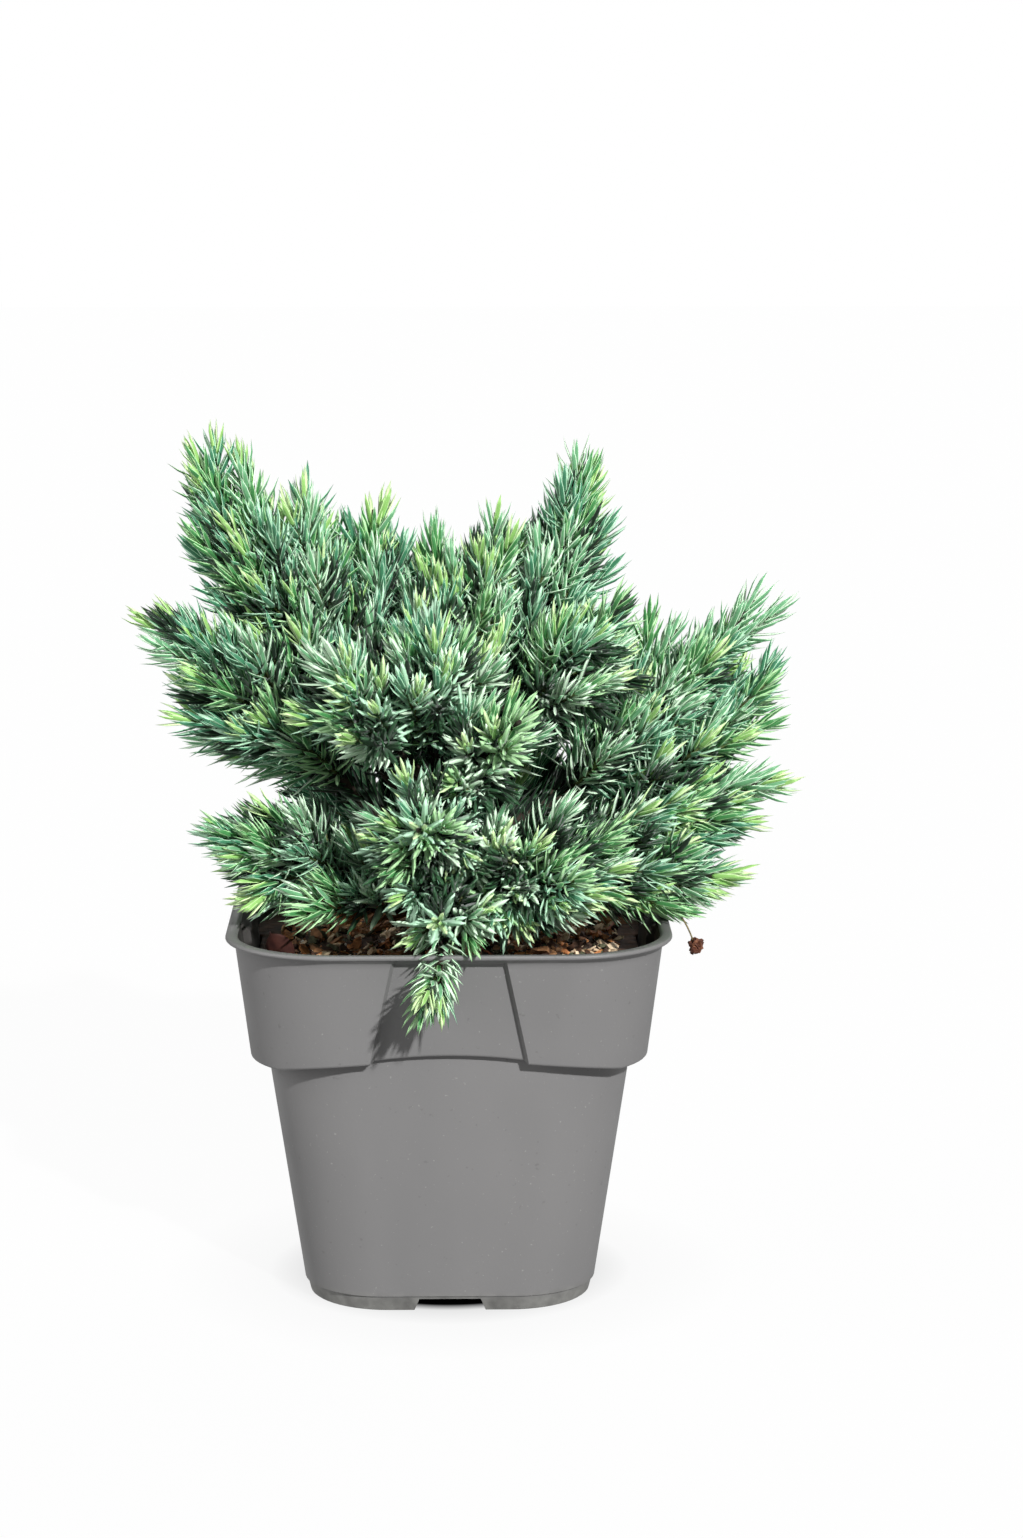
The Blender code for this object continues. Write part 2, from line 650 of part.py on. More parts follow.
def spray_shape(start, direction, length, turn, bare=0.0):
    """A shoot with whorls of three needles past its bare foot.

    Returns its points, its faces and the points that show how far it reaches.
    """
    leafy = length - bare - TIP_NEEDLE
    whorls = max(1, round(leafy / WHORL_SPACING))
    steps = [bare] if bare else []
    steps += [leafy / whorls] * whorls
    centres = [start]
    headings = [direction]
    for step in steps:
        heading = (headings[-1] + UP * (SHOOT_LIFT * step / length)).normalized()
        centres.append(centres[-1] + heading * step)
        headings.append(heading)
    points = []
    for level, centre in enumerate(centres):
        radius = SHOOT_RADIUS * (1 - (1 - SHOOT_TIP_SHARE) * level / len(steps))
        points += round_ring(centre, direction, radius, 3, turn + level * WHORL_TWIST)
    faces = [(2, 1, 0)]
    for level in range(len(steps)):
        low = 3 * level
        high = low + 3
        heading = headings[level + 1]
        for i in range(3):
            j = (i + 1) % 3
            corners = (low + i, low + j, high + j, high + i)
            if bare and level == 0:
                faces.append(corners)
                continue
            middle = sum((points[corner] for corner in corners), Vector()) / 4
            outward = middle - centres[level].lerp(centres[level + 1], 0.5)
            outward = (outward - heading * outward.dot(heading)).normalized()
            lean = heading * math.cos(NEEDLE_LEAN) + outward * math.sin(NEEDLE_LEAN)
            points.append(middle + lean * NEEDLE_LENGTH)
            for a, b in zip(corners, corners[1:] + corners[:1]):
                faces.append((a, b, len(points) - 1))
    last = 3 * len(steps)
    points.append(centres[-1] + headings[-1] * TIP_NEEDLE)
    for i in range(3):
        faces.append((last + i, last + (i + 1) % 3, len(points) - 1))
    shaft = [a.lerp(b, 0.5) for a, b in zip(centres, centres[1:])]
    return points, faces, shaft + points[3:]


def mass_radius(path, share):
    """How far a mass reaches from its stem at a share of the stem."""
    to_tip = (1.0 - share) * (1.0 - path.limb.bare) * path.length
    return min(path.limb.girth, path.limb.spread * to_tip + TIP_WIDTH)


def stem_share(path, share):
    """Turn a share of the stem inside a mass into a share of the whole limb."""
    return path.limb.bare + (1.0 - path.limb.bare) * share


def side_direction(direction, azimuth, lean):
    """A direction that leans out from another one."""
    side, rise = frame_along(direction)
    outward = side * math.cos(azimuth) + rise * math.sin(azimuth)
    return (direction * math.cos(lean) + outward * math.sin(lean)).normalized()


def make_stem(path):
    """The stem inside a mass, which starts a gap beyond the end of its bough."""
    rings = []
    end_radius = path.radius(path.limb.bare)
    for i in range(STEM_RINGS + 1):
        share = i / STEM_RINGS
        whole = stem_share(path, share)
        centre = path.point(whole)
        direction = path.direction(whole)
        if i == 0:
            centre = centre + direction * GAP
        radius = end_radius + (STEM_TIP_RADIUS - end_radius) * share
        if i == STEM_RINGS:
            centre = centre - direction * STEM_SHORT_OF_TIP
        rings.append(round_ring(centre, direction, radius, STEM_SIDES))
    return mesh_object(path.limb.name, *loft(rings))


def room_reach(path, room, share, spoke):
    """How far the mass's own space goes from its stem along a spoke."""
    centre = path.point(stem_share(path, share))
    full = mass_radius(path, share)
    probes = [centre + spoke * (full * step / CORE_PROBES) for step in range(1, CORE_PROBES + 1)]
    inside = room.holds(probes, path, CORE_LIMB_MARGIN)
    clear = CORE_PROBES if inside.all() else int(np.argmin(inside))
    return full * clear / CORE_PROBES


def core_radius(path, room, share, spoke):
    """The core's radius along a spoke, well inside the mass's own space."""
    reach = CORE_ROOM_SHARE * room_reach(path, room, share, spoke)
    return max(min(CORE_SHARE * mass_radius(path, share), reach), STEM_TIP_RADIUS)


def core_faces():
    """Corners of the core's faces: a fan at each end and bands between its rings."""
    last = 1 + CORE_SIDES * len(CORE_RINGS)
    faces = []
    for i in range(CORE_SIDES):
        j = (i + 1) % CORE_SIDES
        faces.append((0, 1 + j, 1 + i))
        for ring in range(len(CORE_RINGS) - 1):
            low = 1 + ring * CORE_SIDES
            high = low + CORE_SIDES
            faces.append((low + i, low + j, high + j, high + i))
        faces.append((last - CORE_SIDES + i, last - CORE_SIDES + j, last))
    return faces


def tuft_apex(corners, ahead, path, room):
    """Tip of the tuft of needles that stands on one face of the core, or nothing."""
    middle = sum(corners, Vector()) / len(corners)
    normal = (corners[1] - corners[0]).cross(corners[-1] - corners[0]).normalized()
    lean = (normal * math.cos(TUFT_LEAN) + ahead * math.sin(TUFT_LEAN)).normalized()
    height = TUFT_HEIGHT
    while height > TUFT_SHORTEST:
        apex = middle + lean * height
        if room.holds([apex], path).all():
            return apex
        height *= SHORTER
    return None


def make_core(path, room, picker):
    """The dense inner part of a mass, with a tuft of needles on each face."""
    points = [path.point(stem_share(path, CORE_START))]
    for level, share in enumerate(CORE_RINGS):
        whole = stem_share(path, share)
        centre = path.point(whole)
        turn = math.pi * level / CORE_SIDES
        for rim in round_ring(centre, path.direction(whole), 1.0, CORE_SIDES, turn):
            spoke = rim - centre
            lump = 1.0 - picker.uniform(0.0, CORE_LUMP)
            points.append(centre + spoke * (core_radius(path, room, share, spoke) * lump))
    points.append(path.point(stem_share(path, CORE_END)))
    faces = []
    for corners in core_faces():
        ring = min((corners[0] + CORE_SIDES - 1) // CORE_SIDES, len(CORE_RINGS)) - 1
        ahead = path.direction(stem_share(path, CORE_RINGS[max(ring, 0)]))
        apex = tuft_apex([points[corner] for corner in corners], ahead, path, room)
        if apex is None:
            faces.append(corners)
            continue
        points.append(apex)
        for first, second in zip(corners, corners[1:] + corners[:1]):
            faces.append((first, second, len(points) - 1))
    return mesh_object(path.limb.name + "_core", points, faces)


class Sprays:
    """The sprays of one mass, which keep clear of each other past their feet."""

    def __init__(self, path, room):
        self.path = path
        self.room = room
        self.shapes = []
        self.taken = []

    def add(self, points, faces, probes):
        self.shapes.append((points, faces))
        self.taken += [tuple(probe) for probe in probes]

    def apart(self, probes, start, foot):
        """True if the points that lie past the foot of a spray are clear of the others."""
        outer = np.array([tuple(probe) for probe in probes if (probe - start).length > foot])
        spans = np.array(self.taken)[None, :, :] - outer[:, None, :]
        return np.sqrt((spans ** 2).sum(axis=2)).min() > SPRAY_ROOM

    def fit(self, start, direction, length, turn, bare):
        """The longest spray from a point that fits, or nothing."""
        while length >= SHORTEST_SPRAY:
            foot = min(bare, length - SHORTEST_SPRAY + SHORTEST_BARE)
            points, faces, probes = spray_shape(start, direction, length, turn, foot)
            inside = self.room.holds(probes, self.path).all()
            if inside and self.apart(probes, start, SPRAY_FOOT_SHARE * length):
                return length, (points, faces, probes)
            length *= SHORTER
        return 0.0, None


def grow_sprays(path, room, picker):
    """Sprays at the tip, on twigs round the stem and beside those twigs."""
    sprays = Sprays(path, room)
    ahead = path.direction(1.0)
    length = TIP_WHORLS * WHORL_SPACING + TIP_NEEDLE
    sprays.add(*spray_shape(path.tip - ahead * length, ahead, length,
                            TIP_SPRAY_TURN))
    azimuth = picker.uniform(0, 2 * math.pi)
    place = picker.random()
    for attempt in range(TWIG_TRIES):
        azimuth += GOLDEN_ANGLE
        place = (place + TWIG_STEP) % 1.0
        share = TWIG_FIRST + (TWIG_LAST - TWIG_FIRST) * place
        whole = stem_share(path, share)
        start = path.point(whole)
        reach = mass_radius(path, share) * picker.uniform(*REACH_RANGE)
        widest = TWIG_LEAN_FOOT + (TWIG_LEAN_TIP - TWIG_LEAN_FOOT) * share
        best = (0.0, None)
        for lean in [widest * lean_share for lean_share in LEAN_SHARES]:
            direction = side_direction(path.direction(whole), azimuth, lean)
            wanted = max(reach / math.sin(widest), SHORTEST_SPRAY)
            spoke = (direction - path.direction(whole) * math.cos(lean)).normalized()
            bare = core_radius(path, room, share, spoke) / math.sin(lean)
            found = sprays.fit(start, direction, wanted, azimuth, bare)
            if found[0] > best[0]:
                best = found
                heading = direction
            if best[0] > GOOD_FIT * wanted:
                break
        length, shape = best
        if shape is None:
            continue
        sprays.add(*shape)
        if length > SIDE_SPRAY_MIN_TWIG:
            turn = picker.uniform(0, 2 * math.pi)
            side = side_direction(heading, turn, SIDE_SPRAY_LEAN)
            side_start = start + heading * (SIDE_SPRAY_PLACE * length)
            shape = sprays.fit(side_start, side, SIDE_SPRAY_SHARE * length, turn, 0.0)[1]
            if shape is not None:
                sprays.add(*shape)
        if len(sprays.shapes) >= path.limb.sprays:
            break
    return sprays.shapes


def keep_largest_piece(mesh):
    """Drop loose scraps and the skins of hollows that are sealed, or open by a hair."""
    shape = bmesh.new()
    shape.from_mesh(mesh)
    bmesh.ops.triangulate(shape, faces=shape.faces)
    bmesh.ops.remove_doubles(shape, verts=shape.verts, dist=WELD)
    waiting = set(shape.faces)
    pieces = []
    while waiting:
        piece = []
        edge_faces = [waiting.pop()]
        while edge_faces:
            face = edge_faces.pop()
            piece.append(face)
            for edge in face.edges:
                if len(edge.link_faces) > 2:
                    continue
                for neighbour in edge.link_faces:
                    if neighbour in waiting:
                        waiting.remove(neighbour)
                        edge_faces.append(neighbour)
        pieces.append(piece)
    pieces.sort(key=len)
    for piece in pieces[:-1]:
        bmesh.ops.delete(shape, geom=piece, context="FACES")
    shape.to_mesh(mesh)
    shape.free()


def is_closed(mesh):
    """True if every edge joins two faces."""
    shape = bmesh.new()
    shape.from_mesh(mesh)
    closed = all(len(edge.link_faces) == 2 for edge in shape.edges)
    shape.free()
    return closed


def clear_limbs(mass, paths):
    """Cut a mass clear of the boughs, the trunk, the pot and the soil it would touch."""
    cutters = [mesh_object("cutter", *loft(bough_rings(path, CUT_GAP, CUT_GAP)))
               for path in paths.values() if path.limb.name != mass.name]
    cutters.append(mesh_object("cutter", *loft(trunk_rings(CUT_GAP))))
    cutters.append(make_rim_cutter())
    for cutter in cutters:
        if touches(mass, cutter):
            cut_away(mass, cutter)
            keep_largest_piece(mass.data)
        else:
            bpy.data.objects.remove(cutter, do_unlink=True)


def make_mass(path, paths, room):
    """One mass of foliage: stem, core and sprays fused into one solid."""
    name = path.limb.name
    picker = random.Random("juniper " + name)
    mass = make_stem(path)
    stem = mass.data
    group = bpy.data.collections.new("sprays")
    bpy.context.scene.collection.children.link(group)
    parts = [make_core(path, room, picker)]
    for points, faces in grow_sprays(path, room, picker):
        parts.append(mesh_object("spray", points, faces))
    for part in parts:
        bpy.context.scene.collection.objects.unlink(part)
        group.objects.link(part)
    whole = False
    while not whole:
        for solver in ("EXACT", "MANIFOLD"):
            mass.data = stem
            apply_boolean(mass, "UNION", collection=group, solver=solver)
            keep_largest_piece(mass.data)
            whole = is_closed(mass.data)
            if whole:
                break
        else:
            bpy.data.objects.remove(parts.pop(), do_unlink=True)
    for part in parts:
        bpy.data.objects.remove(part, do_unlink=True)
    bpy.data.collections.remove(group)
    clear_limbs(mass, paths)
    mass.data.materials.clear()
    mass.data.materials.append(make_material("foliage_" + name, "foliage"))
    return mass


def main():
    clear_scene()
    make_pot()
    make_soil()
    make_trunk()
    paths = make_paths()
    room = Room(paths)
    grown = []
    for path in paths.values():
        make_bough(path, grown)
        grown.append(path)
    for path in paths.values():
        make_mass(path, paths, room)


main()
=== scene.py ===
"""Looks of the blue star juniper in its square grey pot.

Needles, twigs, bark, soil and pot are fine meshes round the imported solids. Units
are metres, in the part's own frame: the front of the pot faces -Y, +X is to the
right, +Z is up and the pot stands on z = 0.
"""

import json
import random
from collections import namedtuple
from math import acos, cos, hypot, pi, radians, sin

import bpy
import numpy as np
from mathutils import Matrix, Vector, noise

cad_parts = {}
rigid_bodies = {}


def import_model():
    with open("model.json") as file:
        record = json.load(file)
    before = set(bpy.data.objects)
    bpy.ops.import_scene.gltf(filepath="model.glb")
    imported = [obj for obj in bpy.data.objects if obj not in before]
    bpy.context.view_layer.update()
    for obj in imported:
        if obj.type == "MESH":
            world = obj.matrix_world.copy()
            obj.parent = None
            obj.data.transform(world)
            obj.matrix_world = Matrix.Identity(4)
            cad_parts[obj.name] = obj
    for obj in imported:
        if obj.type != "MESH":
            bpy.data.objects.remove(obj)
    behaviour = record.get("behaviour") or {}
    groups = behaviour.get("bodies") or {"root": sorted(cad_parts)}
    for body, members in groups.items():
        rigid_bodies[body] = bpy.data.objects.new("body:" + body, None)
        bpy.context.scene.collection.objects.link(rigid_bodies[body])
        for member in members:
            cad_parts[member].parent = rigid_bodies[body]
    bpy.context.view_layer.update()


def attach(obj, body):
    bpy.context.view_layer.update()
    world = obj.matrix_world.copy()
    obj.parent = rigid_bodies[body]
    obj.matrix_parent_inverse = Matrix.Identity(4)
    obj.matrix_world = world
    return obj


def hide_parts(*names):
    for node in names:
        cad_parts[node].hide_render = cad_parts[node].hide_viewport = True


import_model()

UP = np.array([0.0, 0.0, 1.0])
# A direction that no shoot takes
SKEW = np.array([0.13, 0.21, 0.97])
GOLDEN_ANGLE = radians(137.5)

# Camera: the photograph's frame is 1023 by 1538 pixels
FRAME_HEIGHT_PX = 1538
FOCAL_PX = 3761
SENSOR_MM = 36.0
CAMERA_DISTANCE = 1.2
CAMERA_HEIGHT = 0.38
CAMERA_YAW = 0.017
CAMERA_PITCH = 0.1751

# Pot, as in the part's source, with a thinner lip and the collar's lower edge arched in front
RIM_TOP = 0.1217
LIP_HEIGHT = 0.0015
LIP_HALF = 0.0707
LIP_WIDTH = 0.0024
LIP_ROUND = 0.0006
LIP_ROUND_STEPS = 6
# Rings that flare out under the lip: outward, below the lip, share of the panel's depth
LIP_FLARE = ((0.0002, 0.0022, 1.0), (0.0008, 0.001, 0.8), (0.002, 0.0002, 0.4))
# Rings that fall to the inner wall: inward of the lip, below the rim
LIP_FALL = ((0.0, 0.0001), (0.0006, 0.0004), (0.0013, 0.0012))
INNER_WALL_TOP = 0.002
COLLAR_TOP_HALF = 0.0676
COLLAR_FOOT = 0.0822
COLLAR_FOOT_HALF = 0.0633
COLLAR_ROUND = 0.001
COLLAR_ROUND_STEPS = 4
COLLAR_FACE_STEPS = 6
COLLAR_FACE_TOP = 0.0036
BODY_TOP = 0.0765
BODY_TOP_HALF = 0.0573
BODY_NECK_HALF = 0.0578
BODY_FOOT_HALF = 0.047
FOOT_HEIGHT = 0.0046
FOOT_STEP = 0.0003
FOOT_CREASE = 0.0001
FOOT_CHAMFER = 0.0003
FOOT_TOP_HALF = 0.0463
FOOT_HALF = 0.0453
FOOT_WALL = 0.0022
UNDERSIDE = 0.0042
WALL = 0.0013
FOOT_CORNER = 0.0256
RIM_CORNER = 0.0335
CORNER_STEPS = 14
PANEL_DEPTH = 0.0024
PANEL_FOOT_HALF = 0.0235
PANEL_TOP_HALF = 0.0165
PANEL_RAMP = 0.0012
PANEL_TO_CORNER = 0.003
PANEL_STEPS = 8
PANEL_ARCH = 0.0062
PANEL_ARCH_SIDE = 0.0047
COLLAR_ARCH = 0.0039
COLLAR_SLOPE = 0.065
COLLAR_DIP = 0.2
COLLAR_SIDE_LIFT = 0.0002
NOTCH_FOOT_HALF = 0.0118
NOTCH_TOP_HALF = 0.0098
NOTCH_HEIGHT = 0.004
NOTCH_MARGIN = 0.001
PAD_RADIUS = 0.01
PAD_SIDES = 48
SHARP_ANGLE = radians(32)

# Pot's surface, in sRGB, and the heights of the worn foot and of the pale seam above it
POT_GREY = (0.436, 0.434, 0.434)
POT_DARK = (0.42, 0.418, 0.418)
POT_LIGHT = (0.456, 0.452, 0.451)
DUST_GREY = (0.66, 0.66, 0.64)
GRIME_GREY = (0.3, 0.3, 0.29)
SEAM_GREY = (0.7, 0.69, 0.66)
WORN_DARK = (0.36, 0.36, 0.34)
WORN_LIGHT = (0.5, 0.5, 0.48)
WORN_FROM, WORN_TO = 0.004, 0.0062
SEAM_FROM, SEAM_MIDDLE, SEAM_TO = 0.0052, 0.00545, 0.00572
SEAM_WANDER = 0.0016

# Mottled surfaces: dark and light sRGB colour, scale, roughness, depth of bump
MOTTLES = {
    # Inside of the pot: near-black grey, painted shade on the inner wall
    "pot_inside": ((0.1, 0.09, 0.08), (0.22, 0.21, 0.2), 180, 0.8, 0),
    "soil": ((0.14, 0.09, 0.06), (0.34, 0.23, 0.15), 260, 0.95, 0.0008),
    "chip_dark": ((0.18, 0.12, 0.08), (0.32, 0.21, 0.14), 500, 0.9, 0.0002),
    "chip_brown": ((0.42, 0.29, 0.18), (0.64, 0.46, 0.3), 500, 0.85, 0.0002),
    "chip_rust": ((0.56, 0.33, 0.18), (0.78, 0.53, 0.32), 500, 0.8, 0.0002),
    "chip_tan": ((0.72, 0.6, 0.46), (0.9, 0.82, 0.7), 500, 0.8, 0.0002),
    "chip_grey": ((0.25, 0.26, 0.19), (0.4, 0.4, 0.3), 500, 0.9, 0.0002),
    "grit": ((0.66, 0.63, 0.57), (0.88, 0.86, 0.82), 900, 0.8, 0),
    "straw_tan": ((0.55, 0.4, 0.22), (0.74, 0.6, 0.38), 300, 0.7, 0),
    "straw_rust": ((0.36, 0.17, 0.08), (0.56, 0.3, 0.15), 300, 0.8, 0),
    "dead_leaf": ((0.17, 0.085, 0.08), (0.31, 0.17, 0.14), 160, 0.55, 0.0002),
    "stalk": ((0.34, 0.3, 0.16), (0.52, 0.46, 0.28), 400, 0.7, 0),
    "capsule_dark": ((0.22, 0.11, 0.07), (0.36, 0.19, 0.12), 500, 0.8, 0),
    "capsule_light": ((0.36, 0.2, 0.13), (0.52, 0.33, 0.23), 500, 0.8, 0),
    "bark": ((0.1, 0.08, 0.06), (0.25, 0.2, 0.15), 220, 0.9, 0.0005),
    "twig": ((0.22, 0.26, 0.13), (0.38, 0.42, 0.22), 300, 0.8, 0),
}

# Lights: name, strength, width, azimuth from the front towards the right, elevation
LIGHTS = (
    ("key", 4.6, 2.2, 26, 30),
    ("fill", 1.6, 60, -76, 22),
    ("back", 1.3, 50, 160, 38),
)
LIGHT_DISTANCE = 2.0

# Floor: how bright the camera sees it, how bright it lights the part, and the shadow painted under the
# pot
PAINTED_SHADOW_REACH = 0.095
FLOOR_GLOW = 0.962
FLOOR_BOUNCE = 0.5
FLOOR_GREY = 0.022
FLOOR_HALF = 6.0
WORLD_SEEN = 1.0
WORLD_LIGHT = 0.22

# Soil
SOIL_LEVEL = 0.1087
SOIL_INSET = 0.0008
SOIL_LUMP = 0.0011
SOIL_RINGS = 46
# Waves of the soil: places to a metre, share of the lump, seed
SOIL_WAVES = ((90, 0.6, 1.7), (420, 0.35, 4.2))

# Litter on the soil
LITTER_EDGE = 0.004
LITTER_CORNER = 0.006
CHIP_COUNT = 1500
CHIP_LENGTH = (0.0015, 0.0065)
CHIP_WIDTH = (0.25, 0.7)
CHIP_THICKNESS = (0.1, 0.3)
BIG_CHIP_EVERY = 23
BIG_CHIP = 1.7
CHIP_SHARES = {"chip_dark": 20, "chip_brown": 28, "chip_rust": 18, "chip_tan": 21, "chip_grey": 13}
GRIT_COUNT = 130
GRIT_SIZE = (0.0006, 0.0015)
STRAW_COUNT = 46
STRAW_LENGTH = (0.006, 0.017)
STRAW_RADIUS = (0.00022, 0.0005)
STRAW_STEPS = 5
STRAW_BEND = 0.4
STRAW_LIFT = 0.0011
STRAW_ARCH = 0.0012
STRAW_SHARES = {"straw_tan": 3, "straw_rust": 2}

# Fallen leaf that leans on the rim's left front
LEAF_LENGTH = 0.017
LEAF_WIDTH = 0.0085
LEAF_THICKNESS = 0.0003
LEAF_FOLD = 0.35
LEAF_CURL = 0.08
LEAF_LEAN = radians(28)
LEAF_TURN = radians(24)
LEAF_PLACE = (-0.0505, -0.03)

# Dry stalk that hangs over the rim on the right, and its capsule
STALK_START = (0.06, -0.018, RIM_TOP + 0.01)
STALK_KNEE = (0.073, -0.022, RIM_TOP + 0.009)
STALK_END = (0.078, -0.026, RIM_TOP - 0.0052)
STALK_RADII = (0.00035, 0.00028)
STALK_STEPS = 14
CAPSULE_SCALES = 16
CAPSULE_SCALE_SIZE = (0.0044, 0.003, 0.001)
CAPSULE_HANG = (0.0008, 0.0, -0.0018)
CAPSULE_REACH = 0.0012

# Trunk
TRUNK_PROFILE = ((0.0, 0.01), (0.0035, 0.0078), (0.011, 0.0064), (0.026, 0.0056),
                 (0.039, 0.0044), (0.043, 0.0022))
TRUNK_FLARE_HEIGHT = 0.008
TRUNK_FLARE_LOBE = 0.16
TRUNK_FLARE_LOBES = 3
TRUNK_LEAN = np.array([-0.1, 0.06, 1.0])
TRUNK_BARK = 0.95
TRUNK_RINGS = 60
GAP = 0.0003

# Bark: spacing of rings, sides, and the share of a limb that the stem covers
BARK_RING_SPACING = 0.0022
BARK_SIDES = 12
TRUNK_SIDES = 28
STEM_END = 0.94
# Relief: turns round the limb, waves along a metre, share of the radius
BARK_RELIEF = ((2.2, 160, 0.16), (6.0, 420, 0.1))

# Limbs, as in the part's source, by the group whose needles make one piece
BOUGH_TAPER = 0.62
TIP_RADIUS = 0.0006
Limb = namedtuple("Limb", "group name parent fork bearing reach height rise bare radius girth "
                          "spread")
LIMB_ROWS = {
    "left_top": (
        ("left_plume", "trunk", 0.037, 172, 0.086, 0.276, 50, 0.3, 0.0031, 0.028, 0.3),
        ("left_spire", "left_plume", 0.95, 172, 0.07, 0.274, 58, 0.28, 0.002, 0.022, 0.28),
        ("left_crest", "left_plume", 0.8, 166, 0.048, 0.264, 62, 0.28, 0.002, 0.026, 0.45),
        ("inner_crest", "left_plume", 0.5, 143, 0.03, 0.256, 66, 0.28, 0.002, 0.028, 0.6),
    ),
    "left_low": (
        ("left_arm", "trunk", 0.027, 188, 0.096, 0.226, 42, 0.3, 0.0029, 0.021, 0.55),
        ("left_low_arm", "left_arm", 0.7, 176, 0.09, 0.196, 32, 0.3, 0.002, 0.017, 0.55),
        ("left_skirt", "trunk", 0.013, 199, 0.086, 0.152, 24, 0.28, 0.0026, 0.03, 1.4),
    ),
    "front_top": (
        ("front_crown", "trunk", 0.035, 263, 0.04, 0.229, 54, 0.32, 0.0028, 0.036, 1.8),
        ("front_left", "front_crown", 0.75, 234, 0.064, 0.215, 38, 0.28, 0.002, 0.034, 1.6),
        ("front_right", "front_crown", 0.55, 291, 0.066, 0.195, 32, 0.28, 0.002, 0.034, 1.6),
    ),
    "front_low": (
        ("front_mid", "trunk", 0.022, 263, 0.08, 0.163, 32, 0.3, 0.0026, 0.034, 1.6),
        ("front_low", "trunk", 0.009, 222, 0.067, 0.129, 20, 0.28, 0.0024, 0.026, 1.3),
        ("front_burst", "trunk", 0.015, 298, 0.089, 0.14, 28, 0.3, 0.0026, 0.032, 1.6),
        ("front_droop", "trunk", 0.01, 268, 0.09, 0.106, 38, 0.34, 0.0026, 0.028, 0.8),
    ),
    "right_top": (
        ("centre_crest", "trunk", 0.041, 101, 0.025, 0.25, 74, 0.3, 0.0028, 0.03, 0.95),
        ("mid_crest", "centre_crest", 0.6, 43, 0.022, 0.255, 66, 0.28, 0.002, 0.03, 0.8),
        ("right_plume", "trunk", 0.039, 12, 0.0495, 0.272, 60, 0.3, 0.0029, 0.024, 0.32),
        ("right_shoulder", "right_plume", 0.7, 342, 0.06, 0.229, 38, 0.28, 0.002, 0.033, 1.2),
    ),
    "right_low": (
        ("right_tip", "trunk", 0.03, 0, 0.103, 0.231, 20, 0.3, 0.0029, 0.024, 0.28),
        ("right_crest", "right_tip", 0.7, 14, 0.079, 0.216, 32, 0.3, 0.002, 0.025, 0.42),
        ("right_arm", "trunk", 0.02, 356, 0.111, 0.169, 15, 0.3, 0.0028, 0.026, 0.55),
        ("right_hand", "right_arm", 0.75, 1, 0.11, 0.205, 26, 0.3, 0.002, 0.024, 0.45),
        ("right_skirt", "trunk", 0.011, 348, 0.099, 0.136, 20, 0.28, 0.0026, 0.03, 1.2),
    ),
    "back_top": (
        ("back_left", "back_centre", 0.6, 129, 0.094, 0.214, 34, 0.32, 0.0022, 0.036, 1.4),
        ("back_centre", "trunk", 0.026, 90, 0.083, 0.224, 42, 0.32, 0.0029, 0.038, 1.4),
        ("back_right", "back_centre", 0.8, 47, 0.094, 0.205, 32, 0.3, 0.0022, 0.036, 1.4),
    ),
    "back_low": (
        ("back_low_left", "trunk", 0.014, 120, 0.096, 0.15, 22, 0.3, 0.0026, 0.036, 1.3),
        ("back_low_right", "trunk", 0.018, 63, 0.098, 0.145, 24, 0.3, 0.0026, 0.036, 1.3),
    ),
}
LIMBS = [Limb(group, *row) for group, rows in LIMB_ROWS.items() for row in rows]

# Room of each mass, as in the part's source, with neighbours let in a little
TIP_WIDTH = 0.003
TWIG_ROOM = -0.003
LEADING_ROOM = 0.007
LEADING_SHARE = 0.25
NEEDLE_ROOM = 0.002
TIP_ROOM = 0.003
TIP_STRETCH = 0.02
CELL_OVERLAP = 0.006
POT_MARGIN = 0.0012
RIM_CLEARANCE = 0.004
AXIS_SAMPLES = 28

# Twigs on each stem and shoots on each twig
TWIG_SPACING = 0.0029
TWIG_FIRST = 0.03
TWIG_LAST = 0.8
TWIG_LEAN_FOOT = radians(58)
TWIG_LEAN_TIP = radians(26)
TWIG_REACH = (0.7, 1.12)
LONGEST_TWIG = 0.055
SHORTEST_TWIG = 0.008
SHOOT_SPACING = 0.0078
SHOOT_FIRST = 0.2
SHOOT_LAST = 0.8
SHOOT_LEAN = radians(34)
SIDE_SHOOT_SHARE = 0.6
SIDE_SHOOT_EXTRA = 0.009
LEADER_FROM = 0.62
STEM_SHOOT_TO = 0.66
BARE_TWIG = 0.06
BARE_SHOOT = 0.08
SHORTER = 0.86
LIFT = 0.3
AHEAD = 0.8
SEGMENTS = 4
TWIG_RADIUS = 0.00075
TWIG_TIP_RADIUS = 0.00035
TWIG_SIDES = 3

# Needles: awl-shaped, in whorls of three
WHORL_SPACING = 0.0019
NEEDLE_LENGTH = 0.0134
NEEDLE_WIDTH = 0.0021
NEEDLE_LEAN_FOOT = radians(46)
NEEDLE_LEAN_TIP = radians(15)
BRUSH_LENGTH = 0.012
BRUSH_OVERHANG = 0.0103
NEEDLE_LEAN_SPREAD = radians(7)
NEEDLE_TURN_SPREAD = 0.16
NEEDLE_LENGTH_SPREAD = (0.82, 1.12)
TIP_NEEDLE_LENGTH = 0.8
FOOT_NEEDLE_EXTRA = 0.22
NEEDLE_BEND = (0.04, 0.26)
# Share of the needle's length, half width and depth of keel at each section, in widths
NEEDLE_SECTIONS = ((0.22, 0.46, 0.34), (0.7, 0.4, 0.26))
# Pale margin under each edge: share of the way to the keel
MARGIN_SHARE = 0.26

